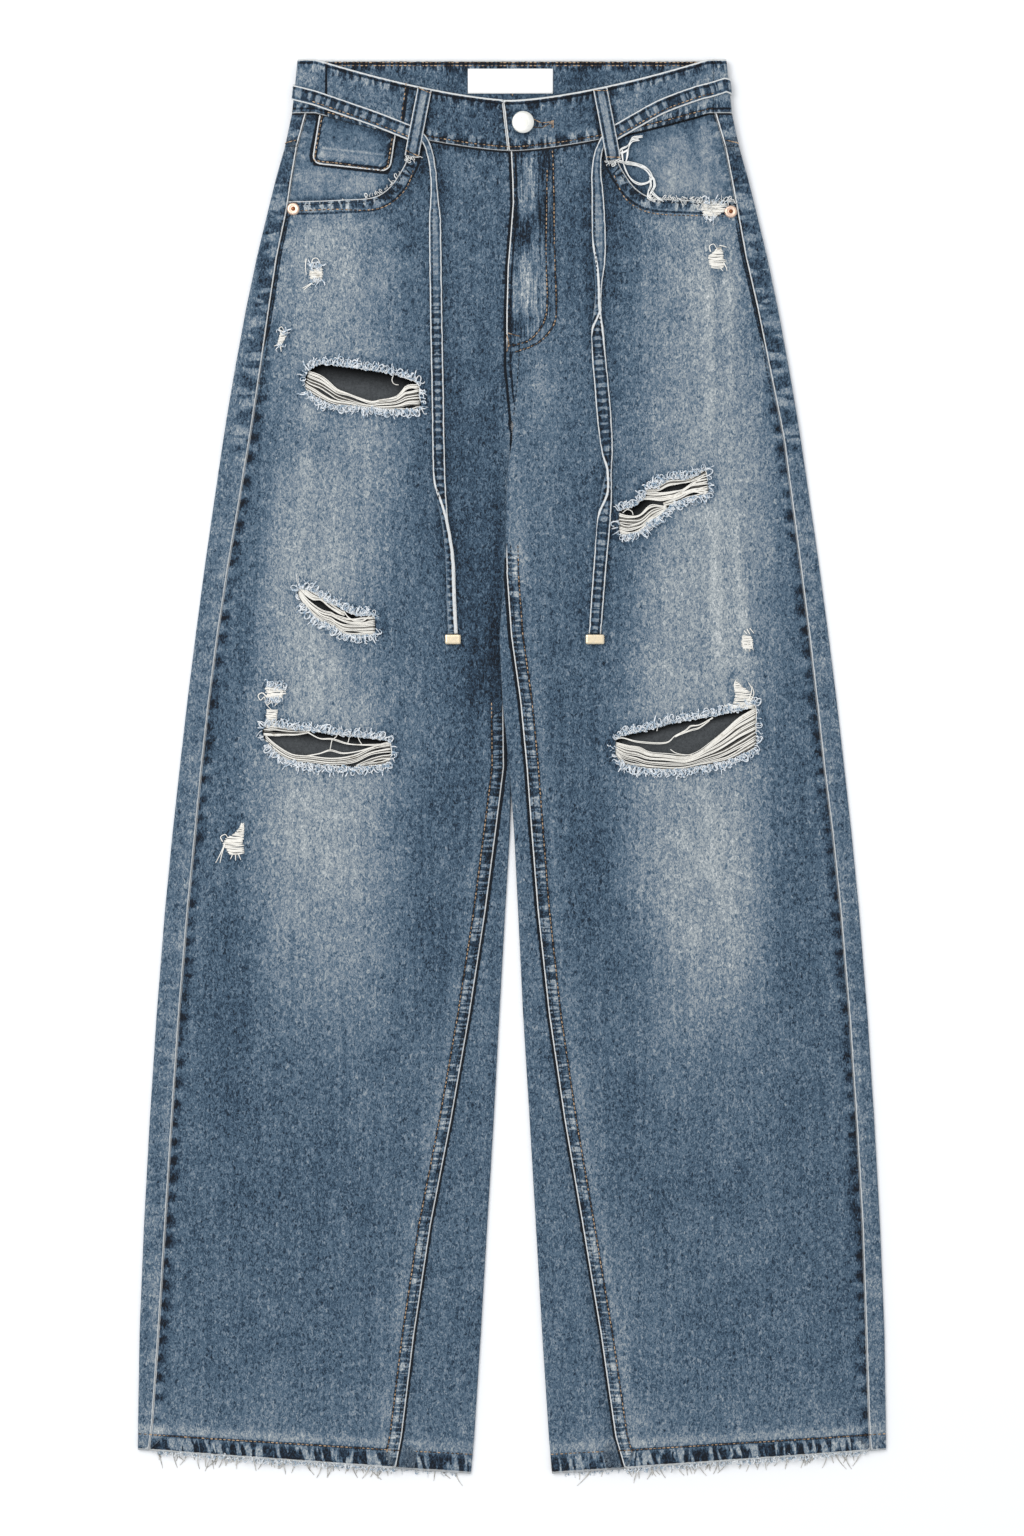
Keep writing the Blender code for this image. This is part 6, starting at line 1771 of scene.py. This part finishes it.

# the fly, the coin pocket and the tacks, then the keyhole: dense purl round a dark slit, the slit drawn as
# navy threads that stand in for its painted shade
for thread, points, *sheets in (
        ("navy", panelLine(sides["left"], 3, 466, 276), "frontPanelLeft"),
        ("navy", [(6.2, 328), (5.4, 314), (3.8, 292), (1.4, 270)], "frontPanelLeft"),
        ("tan", [(-80.9, 520.6), (-84.8, 491.4)], "waistbandFrontRight"),
        ("tan", curveThrough(flyOuter, 10), "frontPanelLeft"),
        ("tan", curveThrough(flyInner, 10), "frontPanelLeft"),
        ("tan", bartack((-2, 330), (4.6, 330)), "frontPanelLeft"),
        ("tan", bartack((-3, 317.6), (-3, 329)), "frontPanelLeft"),
        ("tan", curveThrough(coinLine, 6), "coinPocket"),
        ("tan", bartack((-173.5, 477), (-166, 477)), "backPanelRight", "backYokeRight"),
        ("tan", bartack((174, 477), (164, 477)), "backPanelLeft", "backYokeLeft"),
        *[("tan", bartack((16, 490.3 + drop), (29, 490.3 + drop * 0.22)), "waistbandFrontLeft")
          for drop in (3, -3)],
        # the keyhole's slit: navy thread lines as painted shade
        *[("navy", [(15, 490.3 + drop), (28, 490.3 + drop * 0.1)], "waistbandFrontLeft")
          for drop in (1.5, 0.5, -0.5, -1.5)],
        *[("tan", bartack((30 + drop, 492.2), (30 + drop, 488.4)), "waistbandFrontLeft")
          for drop in (-0.5, 0.5)]):
    stitch(thread, points, *sheets)
# the tie
for name, line in tieEnds.items():
    points = [(p[0] + (-1 if p[3] < 0 else 1) * (p[2] / 2 - 2.1), p[1])
              for p in curveThrough(line, 4) if p[2] > 7.6]
    for part in (points[:len(points) // 2], points[len(points) // 2:]):
        stitch("navy", part, "tieEnd" + name.title())
for name, line in tieRoute.items():
    inner, offset = curveThrough(line, 6), -3.1 if name == "left" else 3.1
    stitch("tan", beside(inner, offset), "tieBelt")
    stitch("navy", beside(inner, -offset * 1.1), "tieBelt")
for low in (533, 505):
    stitch("tan", [(x, low) for x in np.arange(-158, 159, 4)], "waistbandBack", above=False)
for x0 in loopLook["back"].values():
    for offset in (-3.6, 3.6):
        stitch("navy", [(x0 + offset, y) for y in np.arange(536, 488, -4)], "beltLoopBackRight",
               "beltLoopBackCentre", "beltLoopBackLeft", above=False)

# inside of the back band: a double row under its upper edge, and the seam below the label
inside = band["under"] + band["wall"] + 0.1
insideRows = [[(x, y, inside) for x in np.arange(-161, 162, 3)] for y in (538, 535.6)]
insideRows.append([(0.4, y, inside) for y in (513.6, 511, 508.6)])

for thread, finish in (("tan", tanThread), ("navy", darkThread)):
    lines = []
    for points, sheets, above in stitchRows[thread]:
        laid = settle(points, [trees[s] for s in sheets], stitchLook["lift"], above)
        if len(laid) > 1:
            lines.append(laid)
    if thread == "tan":
        lines += insideRows
    made = applied(lineMesh(thread + "Stitching", lines), stitchTree, finish, Pitch=stitchLook["pitch"] * mm,
                   Length=stitchLook["length"] * mm, Width=stitchLook["width"] * mm, Seed=11)
    finishPiece(made, False)
print("jeans: stitched")


# Rips, nicks and frayed edges

weft = {
    "radius": (0.34, 0.62), "fill": 0.45, "sink": 0.75, "wander": 1.25, "shake": 0.4, "steps": 34,
    "group": 3, "deepShare": 0.36, "deep": 0.7, "thin": 0.34, "spacing": 0.62,
}
loose = {"right": [], "left": []}  # points, radius and shade of each bared thread


def onFront(side, x, y):
    return float(topAt(side, side["sign"] * x, y))


def bundle(side, upper, lower, count, partings, seed):
    share = np.linspace(0, 1, weft["steps"])
    edges = []
    for line in (np.array(curveThrough(upper, 8)), np.array(curveThrough(lower, 8))):
        done = runningTotal(np.linalg.norm(np.diff(line, axis=0), axis=1))
        edges.append([np.interp(share * done[-1], done, line[:, k]) for k in (0, 1)])
    (highX, highY), (lowX, lowY) = edges
    tall = np.hypot(highX - lowX, highY - lowY)
    thick = np.clip(weft["fill"] * tall / (count - 1), *weft["radius"])
    isDeep = False
    for k in range(count):
        # some threads lie deeper in the bundle and carry painted shade
        isDeep = 0 < k < count - 1 and not isDeep and rng.random() < weft["deepShare"]
        shade = rng.uniform(0.65, 1) if isDeep else rng.uniform(0, 0.12)
        t = (k + rng.uniform(-0.2, 0.2)) / (count - 1)
        push = 0 * share
        for place, start, stop, gap in partings:
            span = 0.4 * (stop - start)
            parted = smooth((share - start) / span) * smooth((stop - share) / span)
            push += 1.3 * gap * parted * (1 if t > place else -1) * math.exp(-abs(t - place) / 0.25)
        free = np.sin(math.pi * share) ** 0.5 * np.minimum(1, tall / 9)
        drift = noiseAt(share * 2.4, k // weft["group"] * 4.3, seed)
        shake = noiseAt(share * 6, k * 3.7, seed)
        x = lowX + (highX - lowX) * t
        y = lowY + (highY - lowY) * t + push + free * (weft["wander"] * drift + weft["shake"] * shake)
        z = topAt(side, side["sign"] * x, y) - weft["sink"] + 0.3 * noiseAt(share * 4, k * 5.1, seed + 9)
        z = z - 0.5 * smooth((0.04 - share) / 0.04) - 0.5 * smooth((share - 0.96) / 0.04)
        z = z - (weft["deep"] if isDeep else 0)
        loose[side["name"]].append((np.stack([x, y, z], axis=-1), thick * rng.uniform(0.85, 1.1), shade))


def strays(side, rip):
    for line in rip["strays"]:
        laid = [(p, q, onFront(side, p, q) - 0.25) for p, q in curveThrough(line, 6)]
        loose[side["name"]].append((laid, weft["thin"]))
        if len(line) > 4:  # a long one has a second thread under it
            under = [(p, q - 0.6 + 0.3 * math.sin(n / 3), r - 0.1) for n, (p, q, r) in enumerate(laid)]
            loose[side["name"]].append((under, 0.3))


def rimThread(side, rip):  # the rubbed white yarn round the upper edge of the hole
    half = len(rip["rim"]) // 2
    line = [(x, y, onFront(side, x, y) - 0.15) for x, y in rip["rim"][3:half]]
    loose[side["name"]].append((line, weft["thin"]))


def patch(side, nick):  # bared weft, matted together, with its loose ends
    table, tubes = np.array(nick["rows"]), loose[side["name"]]
    low, high = table[0, 1], table[-1, 1]
    count = max(3, int((high - low) / weft["spacing"]))
    for k in range(count + 1):
        y = low + (high - low) * k / count
        x, width = [float(np.interp(y, table[:, 1], table[:, c])) for c in (0, 2)]
        share = np.linspace(rng.uniform(-0.56, -0.44), rng.uniform(0.44, 0.56), 9)
        hump = 1 - (2 * share) ** 2
        px = x + share * width
        py = y + rng.uniform(-0.9, 0.3) * hump + rng.uniform(-0.1, 0.1) * share * width
        pz = [onFront(side, p, q) + 0.25 + 0.5 * h + rng.uniform(0, 0.25) for p, q, h in zip(px, py, hump)]
        line = np.stack([px, py, pz], axis=-1)
        tubes.append((line, rng.uniform(0.4, 0.54), rng.uniform(0, 0.15)))
    for line in nick["tails"]:
        points = [(p, q, onFront(side, p, q) + 0.7) for p, q in curveThrough(line, 6)]
        tubes.append((points, np.linspace(0.52, 0.26, len(points))))


for n, rip in enumerate(rips.values()):
    side = sides[rip["side"]]
    for k, (upper, lower, count, partings) in enumerate(rip["bundles"]):
        bundle(side, upper, lower, count, partings, 3.1 * n + 0.7 * k)
    strays(side, rip)
    rimThread(side, rip)
for nick in nicks:
    patch(sides[nick["side"]], nick)
threadPieces = {"right": [], "left": []}  # what is sewn or frayed on each front panel
for name, tubes in loose.items():
    made = tubeMesh("baredWeft" + name.title(), tubes, creamThread, corners=5)
    threadPieces[name].append(finishPiece(made, False))
print("jeans: weft threads laid")

# Curled yarn ends, 1 unit long, that the frayed edges pick from
curlShapes = [
    lambda t: (math.sin(2.6 * t) * 0.8, (1 - math.cos(2.6 * t)) * 0.35, 0.14 * math.sin(math.pi * t)),
    lambda t: (0.45 * (1 - math.cos(5.6 * t)), 0.3 * math.sin(5.6 * t), 0.12 + 0.1 * t),
    lambda t: (t, 0.2 * math.sin(6 * t), 0.12 * math.sin(math.pi * t)),
    lambda t: (0.75 * t, 0.1 * math.sin(3 * t), 0.16 * t),
    lambda t: (0.5 * t + 0.25 * math.sin(5 * t), 0.28 * (math.cos(5 * t) - 1), 0.18 * t),
    lambda t: (1.15 * t, -0.3 * t * t, 0.1 * math.sin(3 * t)),
]
curls = bpy.data.collections.new("curls")
for n, shape in enumerate(curlShapes):
    points = [tuple(1000 * v for v in shape(t)) for t in np.linspace(0, 1, 11)]
    snippet = tubeMesh(f"curl{n}", [(points, np.linspace(100, 66, 11))], fringeThread)
    bpy.context.scene.collection.objects.unlink(snippet)
    curls.objects.link(snippet)


def frayed(part, side, spots, thread, least, most, swing, seed):
    name = part + side["label"]
    mesh = bpy.data.meshes.new(name)
    mesh.from_pydata([tuple(v * mm for v in spot) for spot, _ in spots], [], [])
    outward = mesh.attributes.new("outward", "FLOAT_VECTOR", "POINT")
    outward.data.foreach_set("vector", [v for _, way in spots for v in way])
    made = applied(placed(name, mesh), curlTree, thread, Curls=curls, Swing=swing, Least=least * mm,
                   Most=most * mm, Seed=seed)
    threadPieces[side["name"]].append(finishPiece(made, False))


def rimSpots(side, outline, step, keepFlat):  # places round a hole, each with its way out
    points = evenly(outline + outline[:1], step)[:-1]
    turning = sum(p[0] * q[1] - q[0] * p[1] for p, q in zip(points, np.roll(points, -1, axis=0)))
    spots = []
    for k, p in enumerate(points):
        before, after = points[k - 1], points[(k + 1) % len(points)]
        way = np.array([after[1] - before[1], before[0] - after[0]]) * (1 if turning > 0 else -1)
        way = way / max(1e-9, np.linalg.norm(way))
        if abs(way[1]) < keepFlat and rng.random() < 0.78:
            continue
        start = p + way * rng.uniform(-0.9, 0.5)
        spots.append(((*start, onFront(side, *start) + rng.uniform(0, 0.5)), (*way, 0.12)))
    return spots


ripEnds = {"right": [], "left": []}
for rip in rips.values():
    ripEnds[rip["side"]] += rimSpots(sides[rip["side"]], rip["rim"], 0.64, 0.62)
for nick in nicks:
    side, spots = sides[nick["side"]], ripEnds[nick["side"]]
    # ends that stand up from the highest row, then ends that hang from the lowest
    for row, many, low, lift, lean, way in (
            (-1, 4, -2.5, 0.6, 0.7, (1, 0.2)), (0, 3, -1, 0.5, 0.8, (-1, 0.1))):
        endX, endY, width = nick["rows"][row]
        for _ in range(nick["crown"] * many):
            x = endX + rng.uniform(-0.5, 0.5) * width
            y = endY + rng.uniform(low, 1)
            spots.append(((x, y, onFront(side, x, y) + lift), (rng.uniform(-lean, lean), *way)))
for side in sides.values():
    frayed("ripFringe", side, ripEnds[side["name"]], fringeThread, 4.2, 7.8, 0.8, 5)

# the hems: short curls along the cut edge, and long ends that hang off it
for side in sides.values():
    spots, hairs = [], []
    for onTop, step, hairShare in ((True, 0.8, 0.27), (False, 1.6, 0.1)):
        for x, y in evenly(hemLine(side, 0.6, onTop), step):
            z = onFront(side, x, y) - rng.uniform(0.1, 0.8) if onTop else rng.uniform(0.3, 0.9)
            place = (x + rng.uniform(-0.5, 0.5), y + rng.uniform(-0.4, 0.6), z)
            spots.append((place, (rng.uniform(-0.5, 0.5), -1, 0)))
            if rng.random() < hairShare:
                length = rng.uniform(4, 8) + 8 * rng.random() ** 2
                lean, bend = rng.uniform(-0.55, 0.55), rng.uniform(-0.5, 0.5)
                share = np.linspace(0, 1, 8)
                line = [x + length * (lean * share + bend * share ** 2), y + 0.8 - length * share,
                        np.maximum(0.35, z * (1 - share) ** 1.5 + 0.3)]
                hairs.append((np.stack(line, axis=-1), np.linspace(0.6, 0.22, 8)))
    frayed("hemFringe", side, spots, fringeThread, 2.6, 5.2, 0.9, 9)
    made = tubeMesh("hemEnds" + side["label"], hairs, hemThread, corners=4)
    threadPieces[side["name"]].append(finishPiece(made, False))

# the torn pocket corner: warp-free yarns that loop down from the loop to the opening's edge
pocketYarns = [[(99.5, 481.2), (95, 480.8), (91.8, 480), (88.7, 474.3), (84.2, 472), (81.1, 469.7)],
    [(96.5, 478.8), (91, 477.6), (89, 472), (88.2, 466), (86.6, 460.8)], [(72.5, 471.5), (78, 468.6),
    (84, 468.8), (88.6, 471)], [(73.5, 469.8), (79.5, 464.2), (87, 461), (94.9, 459.4), (102, 455.6),
    (106.3, 450.6)], [(86.4, 462), (94, 460.6), (101.4, 457.8), (105.6, 453.6), (107.6, 449)],
    [(84.2, 470.5), (84.8, 462), (87.2, 454), (91.5, 448.2), (98, 445.2), (104, 446.4), (107, 450)],
    [(106.3, 452), (108.2, 447), (107.9, 442), (105.4, 437), (107.1, 433)], [(105, 450), (105.6, 444),
    (104, 439), (104.8, 434.4), (109.5, 432.2)], [(107.6, 450), (109.4, 444), (107, 440.2), (110.5, 435.4),
    (115, 432.4)], [(73.8, 472.4), (73.2, 467), (76, 463)], [(81.2, 470), (81.4, 465), (78.4, 461.4)]]
leftFront, yarns = sides["left"], []
for n, line in enumerate(pocketYarns):
    points = [(p, q, onFront(leftFront, p, q) + 0.75 + 0.3 * math.sin(k / 4 + n))
              for k, (p, q) in enumerate(curveThrough(line, 7))]
    beneath = [(p + 0.8 * math.sin(k / 5 + n), q - 1, h - 0.1) for k, (p, q, h) in enumerate(points)]
    yarns += [(points, 0.5), (beneath, 0.42)]
made = tubeMesh("pocketYarns", yarns, pocketThread, corners=5)
threadPieces["left"].append(finishPiece(made, False))
pocketEnds = {"right": [], "left": []}
spots = pocketEnds["left"]
for x in np.arange(105, 168, 0.8):
    y = float(np.interp(x, [105, 114, 130, 150, 168], [434.5, 433.4, 432.8, 432, 432]))
    many = 3 if 140 < x < 160 else 1
    for _ in range(many):
        py = y + rng.uniform(-1.5, 1) - (rng.uniform(0, 7) if many > 1 else 0)
        spot = (x, py, onFront(leftFront, x, py) + 0.3)
        spots.append((spot, (rng.uniform(-1, 1), rng.uniform(-0.4, 1), 0.1)))
for x in np.arange(-112, -84, 1.9):
    y = float(np.interp(-x, [84, 90, 100, 112], [453, 446, 437.5, 434]))
    spot = (x, y, onFront(sides["right"], x, y) + 0.2)
    pocketEnds["right"].append((spot, (rng.uniform(-0.6, 0.6), 0.8, 0.1)))
for side in sides.values():
    x, y = loopLook["front"][side["name"]][1]
    spots = pocketEnds[side["name"]]
    for _ in range(16):
        px = x + rng.uniform(-5.4, 5.4)
        spot = (px, y + rng.uniform(-0.8, 0.4), onFront(side, px, y) + 1.2)
        spots.append((spot, (rng.uniform(-0.5, 0.5), -1, 0.1)))
    frayed("pocketFringe", side, spots, pocketThread, 2.6, 4.8, 1.2, 21)
for snippet in list(curls.objects):
    bpy.data.objects.remove(snippet)
bpy.data.collections.remove(curls)
print("jeans: edges frayed")


# Sheets, what each lies on, and their cut sizes

laidOn = {
    "frontPanelRight": "backPanelRight", "frontPanelLeft": "backPanelLeft", "backPanelRight": "",
    "backPanelLeft": "", "backYokeRight": "", "backYokeLeft": "", "pocketFacingRight": "backPanelRight",
    "pocketFacingLeft": "backPanelLeft", "coinPocket": "pocketFacingRight",
    "backPocketRight": "backPanelRight", "backPocketLeft": "backPanelLeft",
    "waistbandFrontRight": "waistbandBack", "waistbandFrontLeft": "waistbandBack", "waistbandBack": "",
    "tieBelt": "waistbandBack", "beltLoopFrontRight": "waistbandFrontRight",
    "beltLoopFrontLeft": "waistbandFrontLeft", "beltLoopBackRight": "waistbandBack",
    "beltLoopBackCentre": "waistbandBack", "beltLoopBackLeft": "waistbandBack", "neckLabel": "waistbandBack",
}
for name, under in laidOn.items():
    width, length, area = cutSizes[name]
    print("sheet", name, width, length, round(area, 5))
